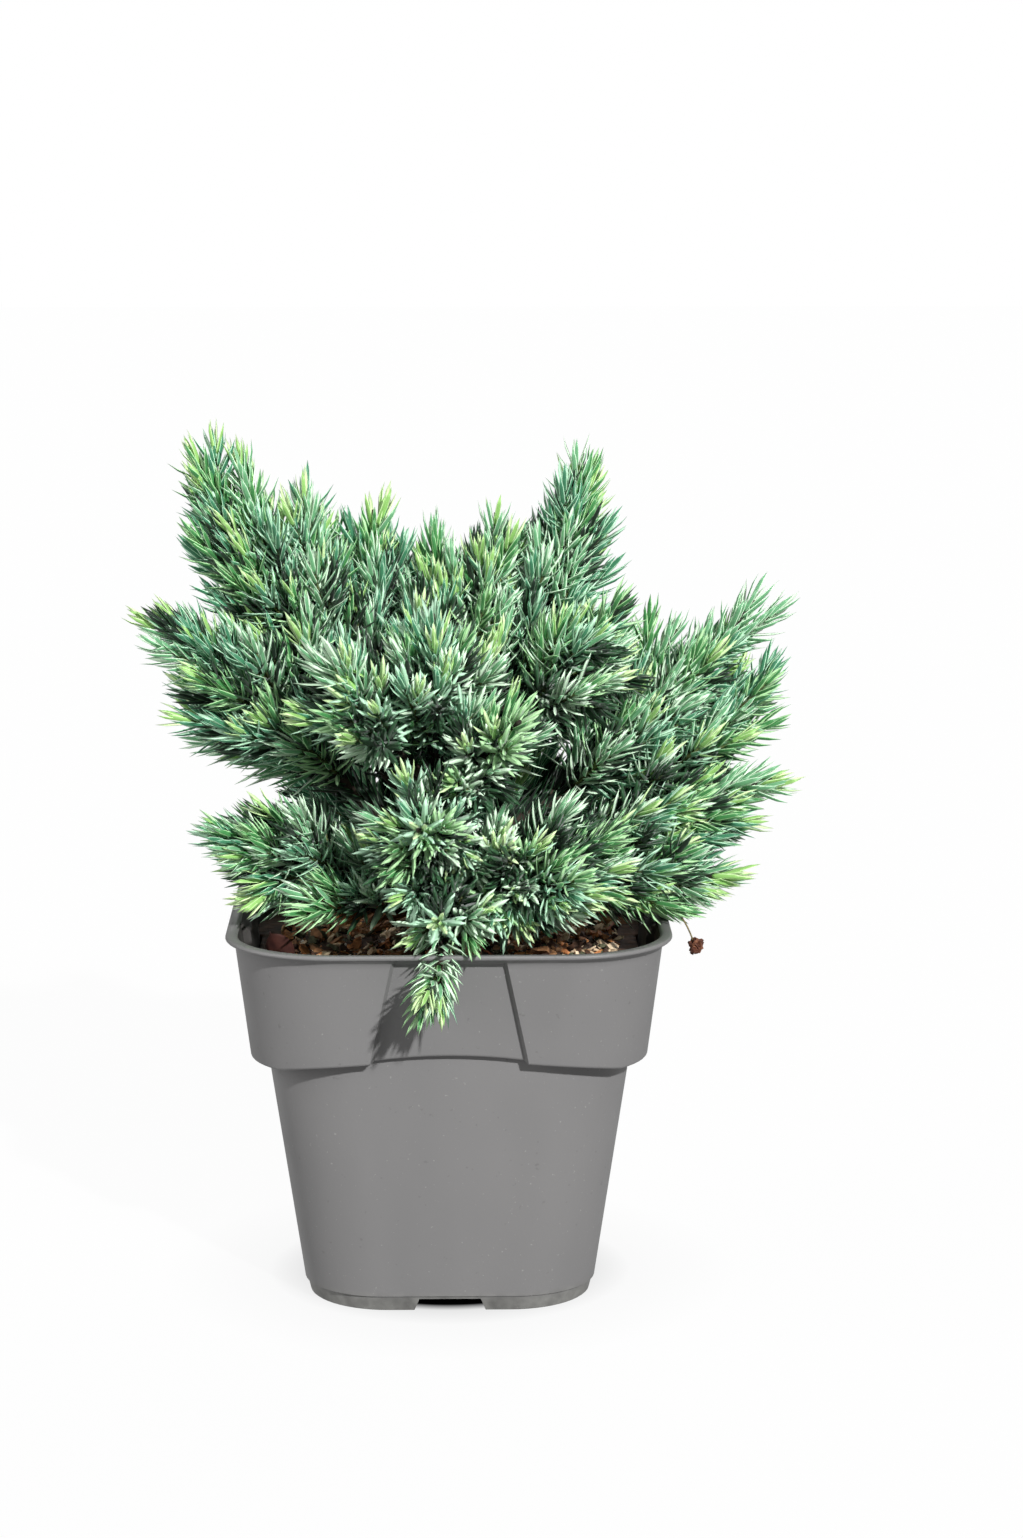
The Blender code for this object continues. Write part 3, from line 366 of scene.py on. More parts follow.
# Needle colours by kind: upper side, then underside
NEEDLE_COLOURS = {
    "silver": ((0.84, 0.95, 0.83), (0.41, 0.64, 0.46)),
    "blue": ((0.73, 0.9, 0.77), (0.24, 0.49, 0.36)),
    "green": ((0.7, 0.88, 0.65), (0.25, 0.51, 0.28)),
    "young": ((0.83, 0.94, 0.7), (0.55, 0.74, 0.41)),
    # Dark: near-black needles for the inner sprays, painted shade inside the crown
    "dark": ((0.17, 0.33, 0.2), (0.04, 0.12, 0.07)),
    "dry": ((0.62, 0.42, 0.22), (0.44, 0.26, 0.13)),
}
KINDS = tuple(NEEDLE_COLOURS)
SPRAY_SHARES = (0.36, 0.34, 0.3)
YOUNG_SHARE = 0.4
YOUNG_REACH = (0.002, 0.006)
# Side shoots on the inner part of their twig, and the needled stems, take the dark kind as painted
# shade
PAINTED_SHADE_DEPTH = 0.5
DRY_REACH = 0.032
DRY_TOP = 0.15
DRY_SHARE = 0.08


# Materials


def linear(value):
    """One sRGB channel as linear light."""
    return value / 12.92 if value <= 0.04045 else ((value + 0.055) / 1.055) ** 2.4


def rgba(shade):
    """Linear colour of an sRGB triple, or of one number: the level of an even linear grey."""
    if isinstance(shade, tuple):
        return tuple(linear(value) for value in shade) + (1.0,)
    return (shade, shade, shade, 1.0)


def feed(tree, node, **values):
    """Give a node's inputs values or outputs; in a name, _ stands for a space."""
    for name, value in values.items():
        entry = node.inputs[name.replace("_", " ")]
        if isinstance(value, bpy.types.NodeSocket):
            tree.links.new(value, entry)
        else:
            entry.default_value = value
    return node


def add(tree, kind, **values):
    """A new shader node of a kind, with its inputs fed."""
    return feed(tree, tree.nodes.new("ShaderNode" + kind), **values)


def new_material(name, base, roughness):
    """A Principled material, its node tree and its shader."""
    material = bpy.data.materials.new(name)
    material.use_nodes = True
    tree = material.node_tree
    shader = feed(tree, tree.nodes["Principled BSDF"], Base_Color=rgba(base), Roughness=roughness)
    return material, tree, shader


def on_object(tree, stretch):
    """The object's own coordinates, stretched."""
    place = add(tree, "TexCoord").outputs["Object"]
    return add(tree, "Mapping", Vector=place, Scale=stretch).outputs["Vector"]


def add_noise(tree, scale, detail, stretch=(1.0, 1.0, 1.0)):
    """A noise texture over the object's own coordinates."""
    place = on_object(tree, stretch)
    return add(tree, "TexNoise", Vector=place, Scale=scale, Detail=detail).outputs["Fac"]


def add_ramp(tree, value, *stops):
    """A colour ramp from a value; each stop is a place with an sRGB triple or a grey."""
    ramp = add(tree, "ValToRGB", Fac=value)
    elements = ramp.color_ramp.elements
    while len(elements) < len(stops):
        elements.new(0.5)
    for element, (place, shade) in zip(elements, stops):
        element.position = place
        element.color = rgba(shade)
    return ramp.outputs["Color"]


def add_mix(tree, share, first, second):
    """Mix two colours; the second may be an sRGB triple."""
    mix = add(tree, "Mix")
    mix.data_type = "RGBA"
    entries = {(entry.name, entry.type): entry for entry in mix.inputs}
    tree.links.new(share, entries["Factor", "VALUE"])
    tree.links.new(first, entries["A", "RGBA"])
    if isinstance(second, tuple):
        entries["B", "RGBA"].default_value = rgba(second)
    else:
        tree.links.new(second, entries["B", "RGBA"])
    return next(result for result in mix.outputs if result.type == "RGBA")


def add_bump(tree, shader, height, distance):
    """Bump from a height socket."""
    bump = add(tree, "Bump", Height=height, Distance=distance, Strength=1.0)
    feed(tree, shader, Normal=bump.outputs["Normal"])


def mottled(name, detail=6.0, stretch=(1.0, 1.0, 1.0)):
    """A surface from the table of mottled ones."""
    dark, light, scale, roughness, bump = MOTTLES[name]
    material, tree, shader = new_material(name, light, roughness)
    value = add_noise(tree, scale, detail, stretch)
    feed(tree, shader, Base_Color=add_ramp(tree, value, (0.32, dark), (0.68, light)))
    if bump:
        add_bump(tree, shader, value, bump)
    return material


def needle_material(name, base):
    """Waxy needle of one plain colour."""
    material, tree, shader = new_material(name, base, 0.42)
    feed(tree, shader, Sheen_Weight=0.12, Specular_IOR_Level=0.45)
    return material


def pot_material():
    """Satin grey plastic with dust, streaks, a worn foot and a pale seam above it."""
    material, tree, shader = new_material("pot_plastic", POT_GREY, 0.42)
    clouds = add_noise(tree, 22.0, 3.0, (1.0, 1.0, 0.45))
    tone = add_ramp(tree, clouds, (0.25, POT_DARK), (0.75, POT_LIGHT))
    speck = add_ramp(tree, add_noise(tree, 900.0, 2.0), (0.7, 0.0), (0.78, 0.35))
    tone = add_mix(tree, speck, tone, DUST_GREY)
    fleck = add_ramp(tree, add_noise(tree, 420.0, 2.0), (0.24, 0.3), (0.3, 0.0))
    tone = add_mix(tree, fleck, tone, GRIME_GREY)
    split = add(tree, "SeparateXYZ", Vector=add(tree, "TexCoord").outputs["Object"])
    wavy = add(tree, "Math")
    wavy.operation = "MULTIPLY_ADD"
    wavy.inputs[1].default_value = SEAM_WANDER
    tree.links.new(add_noise(tree, 130.0, 5.0), wavy.inputs[0])
    tree.links.new(split.outputs["Z"], wavy.inputs[2])
    height = wavy.outputs["Value"]
    seam = add_ramp(tree, height, (0.0, 0.0), (SEAM_FROM, 0.0), (SEAM_MIDDLE, 0.75), (SEAM_TO, 0.0))
    worn = add_ramp(tree, height, (WORN_FROM, 0.55), (WORN_TO, 0.0))
    foot = add_ramp(tree, add_noise(tree, 240.0, 6.0), (0.35, WORN_DARK), (0.65, WORN_LIGHT))
    tone = add_mix(tree, seam, add_mix(tree, worn, tone, foot), SEAM_GREY)
    shine = add_ramp(tree, add_noise(tree, 60.0, 5.0), (0.3, 0.38), (0.7, 0.52))
    feed(tree, shader, Base_Color=tone, Roughness=shine, Specular_IOR_Level=0.3)
    add_bump(tree, shader, add_noise(tree, 700.0, 3.0), 0.00004)
    return material


# Meshes


def make_object(name, points, faces, materials, slots=None, smooth=False):
    """An object from points and faces, with the faces' material slots."""
    mesh = bpy.data.meshes.new(name)
    mesh.from_pydata(np.asarray(points).tolist(), [], faces)
    for material in materials:
        mesh.materials.append(material)
    if slots is not None:
        mesh.polygons.foreach_set("material_index", slots)
    if smooth:
        mesh.shade_smooth()
    mesh.validate()
    obj = bpy.data.objects.new(name, mesh)
    bpy.context.scene.collection.objects.link(obj)
    return obj


def dress(obj, slot, *nodes):
    """Hang a piece on the part and hide the nodes that it replaces. The slot is not used."""
    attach(obj, "root")
    if nodes:
        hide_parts(*nodes)


def loft(rings):
    """Points and faces of a closed skin over rings that run anticlockwise seen from ahead."""
    count = len(rings[0])
    points = [tuple(point) for ring in rings for point in ring]
    faces = []
    for level in range(len(rings) - 1):
        low = level * count
        high = low + count
        for i in range(count):
            j = (i + 1) % count
            faces.append((low + i, low + j, high + j, high + i))
    faces.append(tuple(reversed(range(count))))
    faces.append(tuple(range(len(points) - count, len(points))))
    return points, faces


def unit(vectors):
    """Vectors, one or an array of them, made one unit long."""
    return vectors / np.linalg.norm(vectors, axis=-1, keepdims=True)


def curved(start, knee, end, share):
    """Point of a curve that sets out towards the knee and ends at the end."""
    rest = 1.0 - share
    return start * rest ** 2 + knee * (2 * rest * share) + end * share ** 2


def spun(a, b, angle):
    """A pair of coordinates turned by an angle from the first towards the second."""
    return a * cos(angle) - b * sin(angle), a * sin(angle) + b * cos(angle)


class Heap:
    """Points and faces of many small shapes that become one mesh."""

    def __init__(self):
        self.points = []
        self.faces = []
        self.slots = []

    def add(self, points, faces, slot=0):
        start = len(self.points)
        self.points += [tuple(point) for point in points]
        self.faces += [tuple(index + start for index in face) for face in faces]
        self.slots += [slot] * len(faces)

    def make(self, name, materials, smooth=False):
        return make_object(name, self.points, self.faces, materials, self.slots, smooth)


# Pot


def quarter_turn(side, x, y, z):
    """A point turned about the pot's axis to one of its four sides."""
    cosine = round(cos(side * pi / 2))
    sine = round(sin(side * pi / 2))
    return cosine * x - sine * y, sine * x + cosine * y, z


def panel_half_at(z):
    """Half width of the collar's panel, which narrows towards the rim."""
    share = (z - COLLAR_FOOT) / (RIM_TOP - LIP_HEIGHT - COLLAR_FOOT)
    share = min(max(share, 0.0), 1.0)
    return PANEL_FOOT_HALF + (PANEL_TOP_HALF - PANEL_FOOT_HALF) * share


def corner_at(z):
    """Radius of the pot's corners at one height."""
    return FOOT_CORNER + (RIM_CORNER - FOOT_CORNER) * z / RIM_TOP


def square_ring(half, z, depth=0.0, arch=0.0, grow_panel=0.0):
    """Points round the pot at one height, with stations across each side's panel.

    The panel is set back by depth. An arch of 1 lifts the ring like the collar's lower edge,
    which is arched on the front and back and runs level on the other sides.
    """
    corner = corner_at(z)
    widest = half + grow_panel - corner - PANEL_TO_CORNER
    panel = min(panel_half_at(z), widest) + grow_panel
    outline = [(half, -panel - PANEL_RAMP, COLLAR_ARCH * arch)]
    for step in range(PANEL_STEPS + 1):
        along = 2 * step / PANEL_STEPS - 1
        lift = PANEL_ARCH_SIDE + (PANEL_ARCH - PANEL_ARCH_SIDE) * (1 - along * along)
        outline.append((half - depth, panel * along, lift * arch))
    outline.append((half, panel + PANEL_RAMP, COLLAR_ARCH * arch))
    for step in range(CORNER_STEPS + 1):
        angle = 0.5 * pi * step / CORNER_STEPS
        x = half - corner + corner * cos(angle)
        y = half - corner + corner * sin(angle)
        drop = COLLAR_SLOPE * (min(x, y) - panel) + COLLAR_DIP * (half - max(x, y))
        outline.append((x, y, (COLLAR_ARCH - drop) * arch))
    ring = []
    for side in range(4):
        for x, y, lift in outline:
            if (side % 2 == 0) == (x > y):
                lift = COLLAR_SIDE_LIFT * arch
            ring.append(quarter_turn(side, x, y, z + lift))
    return ring


def inner_rings(inset=0.0):
    """Rings down the inside of the pot, from under the lip to the floor."""
    rows = (
        (COLLAR_TOP_HALF, RIM_TOP - LIP_HEIGHT - INNER_WALL_TOP, PANEL_DEPTH, 0.0),
        (COLLAR_FOOT_HALF, COLLAR_FOOT + WALL + 2 * inset, PANEL_DEPTH, 1.0),
        (BODY_NECK_HALF, COLLAR_FOOT + 2 * inset, 0.0, 1.0),
        (BODY_TOP_HALF, BODY_TOP, 0.0, 0.0),
        (BODY_FOOT_HALF, UNDERSIDE + WALL + inset, 0.0, 0.0),
    )
    return [square_ring(half - WALL - inset, z, depth, arch, inset) for half, z, depth, arch in rows]


def outer_rings():
    """Rings up the outside of the pot, from under its floor to the top of the lip."""
    lip_foot = RIM_TOP - LIP_HEIGHT
    rows = [
        (FOOT_HALF - FOOT_WALL, UNDERSIDE),
        (FOOT_HALF - FOOT_WALL, 0.0),
        (FOOT_HALF - FOOT_CHAMFER, 0.0),
        (FOOT_HALF, FOOT_CHAMFER),
        (FOOT_TOP_HALF, FOOT_HEIGHT),
        (FOOT_TOP_HALF + FOOT_CREASE, FOOT_HEIGHT + FOOT_CREASE),
        (BODY_FOOT_HALF, FOOT_HEIGHT + FOOT_STEP + 2 * FOOT_CREASE),
        (BODY_TOP_HALF, BODY_TOP),
        (BODY_NECK_HALF, COLLAR_FOOT - 0.4 * COLLAR_ROUND, 0.0, 1.0),
        (COLLAR_FOOT_HALF - 1.6 * COLLAR_ROUND, COLLAR_FOOT - COLLAR_ROUND, PANEL_DEPTH, 1.0),
    ]
    for step in range(COLLAR_ROUND_STEPS + 1):
        angle = 0.5 * pi * step / COLLAR_ROUND_STEPS
        rows.append((COLLAR_FOOT_HALF - COLLAR_ROUND * (1 - sin(angle)),
                     COLLAR_FOOT - COLLAR_ROUND * cos(angle), PANEL_DEPTH, 1.0))
    for step in range(1, COLLAR_FACE_STEPS + 1):
        share = step / COLLAR_FACE_STEPS
        half = COLLAR_FOOT_HALF + (COLLAR_TOP_HALF - COLLAR_FOOT_HALF) * share
        z = COLLAR_FOOT + (lip_foot - COLLAR_FACE_TOP - COLLAR_FOOT) * share
        rows.append((half, z, PANEL_DEPTH, max(0.0, 1.0 - share)))
    for outward, below, depth in LIP_FLARE:
        rows.append((COLLAR_TOP_HALF + outward, lip_foot - below, depth * PANEL_DEPTH))
    rows.append((LIP_HALF - LIP_ROUND, lip_foot))
    middle = lip_foot + 0.5 * LIP_HEIGHT
    for step in range(LIP_ROUND_STEPS + 1):
        angle = pi * (step / LIP_ROUND_STEPS - 0.5)
        rows.append((LIP_HALF - LIP_ROUND + LIP_ROUND * cos(angle),
                     middle + 0.5 * LIP_HEIGHT * sin(angle)))
    for inward, below in LIP_FALL:
        rows.append((LIP_HALF - LIP_WIDTH - inward, RIM_TOP - below))
    return [square_ring(*row) for row in rows]


def make_pot():
    """The pot's fine skin with its notches cut, and the pad under the middle of its floor."""
    rings = outer_rings()
    outside = (len(rings) - 1) * len(rings[0])
    points, faces = loft(rings + inner_rings())
    # Faces inside the pot take slot 1, whose dark grey is painted shade on the inner wall
    slots = [0 if index < outside else 1 for index in range(len(faces) - 2)] + [0, 1]
    pot = make_object("pot_shell", points, faces, [pot_material(), mottled("pot_inside")], slots, True)
    cut_notches(pot)
    dress(pot, "pot", "pot")
    pad_rings = [[(PAD_RADIUS * cos(a), PAD_RADIUS * sin(a), z)
                  for a in np.linspace(0, 2 * pi, PAD_SIDES, endpoint=False)]
                 for z in (0.0, UNDERSIDE + 0.5 * WALL)]
    dress(make_object("pot_pad", *loft(pad_rings), [pot.data.materials[0]]), "pot")


def cut_notches(pot):
    """Cut a notch in the foot under the middle of each side."""
    profile = ((-NOTCH_FOOT_HALF, -NOTCH_MARGIN), (NOTCH_FOOT_HALF, -NOTCH_MARGIN),
               (NOTCH_TOP_HALF, NOTCH_HEIGHT), (-NOTCH_TOP_HALF, NOTCH_HEIGHT))
    ends = (FOOT_HALF - 2 * FOOT_WALL, FOOT_TOP_HALF + NOTCH_MARGIN)
    notches = Heap()
    for side in range(4):
        notches.add(*loft([[quarter_turn(side, x, y, z) for y, z in profile] for x in ends]))
    cutter = notches.make("notches", [])
    modifier = pot.modifiers.new("Notches", "BOOLEAN")
    modifier.operation = "DIFFERENCE"
    modifier.object = cutter
    bpy.context.view_layer.update()
    depsgraph = bpy.context.evaluated_depsgraph_get()
    cut = bpy.data.meshes.new_from_object(pot.evaluated_get(depsgraph))
    pot.modifiers.clear()
    pot.data = cut
    bpy.data.objects.remove(cutter, do_unlink=True)
    pot.data.shade_smooth()
    pot.data.set_sharp_from_angle(angle=SHARP_ANGLE)


# Soil


def soil_height(x, y):
    """Height of the crumbly soil at a place."""
    lump = sum(share * noise.noise(Vector((x * waves, y * waves, seed)))
               for waves, share, seed in SOIL_WAVES)
    return SOIL_LEVEL + SOIL_LUMP * lump


def make_soil():
    """The soil's skin, lumpy on top, filling the pot down to its floor."""
    rings = list(reversed(inner_rings(SOIL_INSET)))[:-1]
    share = (SOIL_LEVEL - COLLAR_FOOT) / (RIM_TOP - LIP_HEIGHT - COLLAR_FOOT)
    half = COLLAR_FOOT_HALF + (COLLAR_TOP_HALF - COLLAR_FOOT_HALF) * share - WALL - SOIL_INSET
    edge = square_ring(half, SOIL_LEVEL, PANEL_DEPTH, grow_panel=SOIL_INSET)
    for level in range(SOIL_RINGS):
        scale = 1.0 - level / SOIL_RINGS
        rings.append([(x * scale, y * scale, soil_height(x * scale, y * scale))
                      for x, y, _ in edge])
    soil = make_object("soil_surface", *loft(rings), [mottled("soil")], smooth=True)
    dress(soil, "potting_soil", "potting_soil")


def chip_shape(picker, length, width, thickness):
    """A splinter of bark: a bent, uneven six-sided flake."""
    points = []
    for end, squeeze in ((-1.0, 0.45), (-0.35, 1.0), (0.4, 0.9), (1.0, 0.35)):
        for side, top in ((-1, -1), (1, -1), (1, 1), (-1, 1)):
            points.append(Vector((
                0.5 * length * end * picker.uniform(0.8, 1.1),
                0.5 * width * side * squeeze * picker.uniform(0.6, 1.1),
                0.5 * thickness * top * picker.uniform(0.5, 1.2))))
    faces = [(3, 2, 1, 0), (12, 13, 14, 15)]
    for level in range(3):
        low = 4 * level
        for i in range(4):
            j = (i + 1) % 4
            faces.append((low + i, low + j, low + 4 + j, low + 4 + i))
    return points, faces


def turned(points, place, picker, tilt):
    """Points turned to a random heading with some tilt and moved to a place."""
    heading = picker.uniform(0, 2 * pi)
    pitch = picker.uniform(-tilt, tilt)
    roll = picker.uniform(-tilt, tilt)
    result = []
    for point in points:
        x, y, z = point
        y, z = spun(y, z, roll)
        x, z = spun(x, z, pitch)
        x, y = spun(x, y, heading)
        result.append((x + place[0], y + place[1], z + place[2]))
    return result


def tube(points, radii, sides):
    """A closed tube along points."""
    rings = []
    points = np.asarray(points, dtype=float)
    ahead = unit(np.gradient(points, axis=0))
    reference = np.array([0.31, 0.17, 0.93]) if abs(ahead[0] @ UP) < 0.9 else np.array([1.0, 0, 0])
    for point, direction, radius in zip(points, ahead, radii):
        side = unit(np.cross(reference, direction))
        rise = np.cross(direction, side)
        angles = np.linspace(0, 2 * pi, sides, endpoint=False)
        rings.append(point + radius * (np.outer(np.cos(angles), side) + np.outer(np.sin(angles), rise)))
    return loft(rings)


def make_litter():
    """Bark chips, grit and straws on the soil."""
    picker = random.Random(11)
    half = COLLAR_FOOT_HALF - WALL - PANEL_DEPTH - LITTER_EDGE
    make_chips(picker, half)
    make_grit(picker, half)
    make_straws(picker, half)


def make_chips(picker, half):
    """Bark chips of five kinds, strewn inside the pot's round corners."""
    chips = Heap()
    corner = RIM_CORNER - LITTER_CORNER
    for index in range(CHIP_COUNT):
        x = picker.uniform(-half, half)
        y = picker.uniform(-half, half)
        if hypot(max(abs(x) - half + corner, 0), max(abs(y) - half + corner, 0)) > corner:
            continue
        length = picker.uniform(*CHIP_LENGTH) * (BIG_CHIP if index % BIG_CHIP_EVERY == 0 else 1.0)
        width = length * picker.uniform(*CHIP_WIDTH)
        points, faces = chip_shape(picker, length, width, length * picker.uniform(*CHIP_THICKNESS))
        height = soil_height(x, y) + 0.25 * width
        kind = picker.choices(range(len(CHIP_SHARES)), CHIP_SHARES.values())[0]
        chips.add(turned(points, (x, y, height), picker, 0.7), faces, kind)
    dress(chips.make("soil_chips", [mottled(kind) for kind in CHIP_SHARES]), "potting_soil")


def make_grit(picker, half):
    """Pale grains."""
    grit = Heap()
    for index in range(GRIT_COUNT):
        x = picker.uniform(-half, half)
        y = picker.uniform(-half, half)
        size = picker.uniform(*GRIT_SIZE)
        points, faces = chip_shape(picker, size, size * 0.9, size * 0.8)
        grit.add(turned(points, (x, y, soil_height(x, y) + 0.3 * size), picker, 1.2), faces)
    dress(grit.make("soil_grit", [mottled("grit")]), "potting_soil")


def make_straws(picker, half):
    """Thin bent straws that lie on the chips."""
    straws = Heap()
    for index in range(STRAW_COUNT):
        x = picker.uniform(-half, half)
        y = picker.choice((-1, 1, -1)) * picker.uniform(0.3, 1.0) * half
        heading = picker.uniform(0, 2 * pi)
        length = picker.uniform(*STRAW_LENGTH)
        line = []
        for step in range(STRAW_STEPS + 1):
            along = length * (step / STRAW_STEPS - 0.5)
            turn = heading + STRAW_BEND * along / length
            px = min(max(x + along * cos(turn), -half), half)
            py = min(max(y + along * sin(turn), -half), half)
            rise = STRAW_LIFT + STRAW_ARCH * sin(3.1 * step / STRAW_STEPS)
            line.append((px, py, soil_height(px, py) + rise))
        radius = picker.uniform(*STRAW_RADIUS)
        kind = picker.choices(range(len(STRAW_SHARES)), STRAW_SHARES.values())[0]
        straws.add(*tube(line, [radius] * STRAW_STEPS + [radius * 0.4], 5), kind)
    dress(straws.make("soil_straws", [mottled(kind) for kind in STRAW_SHARES]), "potting_soil")


def make_leaf():
    """A fallen purple-brown leaf that leans on the rim's left front."""
    steps, across = 12, 6
    points = []
    for i in range(steps + 1):
        t = i / steps
        half = 0.5 * LEAF_WIDTH * sin(pi * min(t * 0.93 + 0.04, 1.0)) ** 0.8
        for j in range(across + 1):
            s = 2 * j / across - 1
            points.append((s * half, LEAF_FOLD * abs(s) * half,
                           LEAF_LENGTH * (t - LEAF_CURL * t * t * abs(s))))
    faces = []
    row = across + 1
    for i in range(steps):
        for j in range(across):
            a = i * row + j
            faces.append((a, a + 1, a + row + 1, a + row))
    placed = []
    for x, y, z in points:
        y, z = spun(y, z, LEAF_LEAN)
        x, z = spun(x, z, LEAF_TURN)
        placed.append((x + LEAF_PLACE[0], y + LEAF_PLACE[1], z + SOIL_LEVEL))
    leaf = make_object("fallen_leaf", placed, faces, [mottled("dead_leaf")], smooth=True)
    leaf.modifiers.new("Thickness", "SOLIDIFY").thickness = LEAF_THICKNESS
    dress(leaf, "potting_soil")


def make_stalk():
    """A thin dry stalk that hangs over the rim on the right and ends in a brown capsule."""
    start, knee, end = (np.array(place) for place in (STALK_START, STALK_KNEE, STALK_END))
    line = curved(start, knee, end, np.linspace(0, 1, STALK_STEPS)[:, None])
    stalk = Heap()
    stalk.add(*tube(line, np.linspace(*STALK_RADII, STALK_STEPS), 6))
    dress(stalk.make("dry_stalk", [mottled("stalk")], True), "bark")
    picker = random.Random(4)
    capsule = Heap()
    for index in range(CAPSULE_SCALES):
        azimuth = GOLDEN_ANGLE * index
        tilt = acos(1 - 2 * (index + 0.5) / CAPSULE_SCALES)
        outward = np.array([sin(tilt) * cos(azimuth), sin(tilt) * sin(azimuth), cos(tilt)])
        points, faces = chip_shape(picker, *CAPSULE_SCALE_SIZE)
        place = end + np.array(CAPSULE_HANG) + outward * CAPSULE_REACH
        capsule.add(turned(points, place, picker, 1.4), faces, index % 2)
    materials = [mottled("capsule_dark"), mottled("capsule_light")]
    dress(capsule.make("dry_capsule", materials), "bark")


# Limbs


def trunk_centre(height):
    """Point on the trunk's axis at a height over the soil."""
    return np.array([0.0, 0.0, SOIL_LEVEL + GAP]) + TRUNK_LEAN * height


class Path:
    """The curve of one limb, from its parent's axis to its tip."""

    def __init__(self, limb, paths):
        self.limb = limb
        if limb.parent == "trunk":
            self.start = trunk_centre(limb.fork)
        else:
            parent = paths[limb.parent]
            self.start = parent.point(limb.fork * parent.limb.bare)
        bearing = radians(limb.bearing)
        outward = np.array([cos(bearing), sin(bearing), 0.0])
        self.tip = outward * limb.reach + UP * limb.height
        rise = radians(limb.rise)
        level = unit((self.tip - self.start) * (1, 1, 0))
        self.length = np.linalg.norm(self.tip - self.start)
        self.knee = self.start + (level * cos(rise) + UP * sin(rise)) * 0.5 * self.length

    def point(self, share):
        return curved(self.start, self.knee, self.tip, share)

    def direction(self, share):
        return unit((self.knee - self.start) * (1 - share) + (self.tip - self.knee) * share)


def make_paths():
    """The path of every limb, parents before children."""
    rows = {limb.name: limb for limb in LIMBS}
    paths = {}

    def add(limb):
        if limb.name not in paths:
            if limb.parent != "trunk":
                add(rows[limb.parent])
            paths[limb.name] = Path(limb, paths)

    for limb in LIMBS:
        add(limb)
    return paths


def bark_tube(centres, radii, sides, seed, lobes=None):
    """A tube with the ridges and scales of bark."""
    points, faces = tube(centres, radii, sides)
    count = len(centres)
    relief = []
    for index, point in enumerate(points):
        level = index // sides
        centre = np.asarray(centres[level], dtype=float)
        out = np.asarray(point) - centre
        angle = 2 * pi * (index % sides) / sides
        along = np.linalg.norm(centre - np.asarray(centres[0]))
        swell = 1.0
        for turns, waves, height in BARK_RELIEF:
            place = Vector((cos(angle) * turns, sin(angle) * turns, along * waves + seed))
            swell += height * noise.noise(place)
        if lobes is not None:
            swell += lobes(level, angle)
        if level in (0, count - 1):
            swell = 1.0 + (swell - 1.0) * 0.5
        relief.append(tuple(centre + out * swell))
    return relief, faces


def make_bark(paths):
    """Trunk, boughs and the stems inside the masses, with bark relief."""
    bark = Heap()
    heights = np.linspace(0.0, TRUNK_PROFILE[-1][0], TRUNK_RINGS)
    radii = np.interp(heights, *zip(*TRUNK_PROFILE)) * TRUNK_BARK

    def lobes(level, angle):
        flare = max(0.0, 1.0 - heights[level] / TRUNK_FLARE_HEIGHT)
        return TRUNK_FLARE_LOBE * flare * cos(TRUNK_FLARE_LOBES * angle)

    bark.add(*bark_tube([trunk_centre(h) for h in heights], radii, TRUNK_SIDES, 3.0, lobes))
    for number, path in enumerate(paths.values()):
        limb = path.limb
        count = int(path.length / BARK_RING_SPACING)
        shares = np.linspace(0.0, STEM_END, count)
        end_radius = limb.radius * BOUGH_TAPER
        bough = limb.radius + (end_radius - limb.radius) * np.minimum(shares / limb.bare, 1.0)
        stem = np.maximum(shares - limb.bare, 0.0) / (1.0 - limb.bare)
        radii = bough + (TIP_RADIUS - end_radius) * stem
        bark.add(*bark_tube([path.point(s) for s in shares], radii, BARK_SIDES, 9.0 * number))
    piece = bark.make("bark_limbs", [mottled("bark", 8.0, (1.0, 1.0, 0.35))], True)
    dress(piece, "bark", "trunk", *[limb.name + "_bough" for limb in LIMBS])


# Foliage


class Room:
    """Says which points belong to a mass and are clear of the pot."""

    def __init__(self, paths):
        self.names = list(paths)
        self.axes = np.array([[path.point(share) for share in
                               np.linspace(path.limb.bare, 1.0, AXIS_SAMPLES)]
                              for path in paths.values()])

    def clear_of_pot(self, points):
        """True for each point above the rim or outside it."""
        flat = np.maximum(np.abs(points[:, :2]) - (LIP_HALF - RIM_CORNER), 0.0)
        outside = np.hypot(flat[:, 0], flat[:, 1]) - RIM_CORNER > POT_MARGIN
        return outside | (points[:, 2] > RIM_TOP + RIM_CLEARANCE)

    def holds(self, points, path, room=TWIG_ROOM):
        """True for each point inside the mass's own space."""
        limb = path.limb
        spans = self.axes[None, :, :, :] - points[:, None, None, :]
        near = np.sqrt((spans ** 2).sum(axis=3)).min(axis=2)
        own = self.names.index(limb.name)
        others = np.delete(near, own, axis=1).min(axis=1)
        behind = (path.tip - points) @ path.direction(1.0)
        taper = np.clip(behind / TIP_STRETCH, 0.0, 1.0)
        width = np.minimum(limb.girth, limb.spread * behind * taper + TIP_WIDTH)
        mine = near[:, own] < others + CELL_OVERLAP
        mine &= (near[:, own] < width + room) & (behind > -TIP_ROOM)
        return mine & self.clear_of_pot(points)


Shoot = namedtuple("Shoot", "points bare order depth")


def curve_from(start, direction, length, pull):
    """A short curved line that sets out in a direction and is pulled towards another."""
    points = [start]
    for step in range(SEGMENTS):
        heading = unit(direction + pull * ((step + 0.5) / SEGMENTS))
        points.append(points[-1] + heading * (length / SEGMENTS))
    return np.array(points)


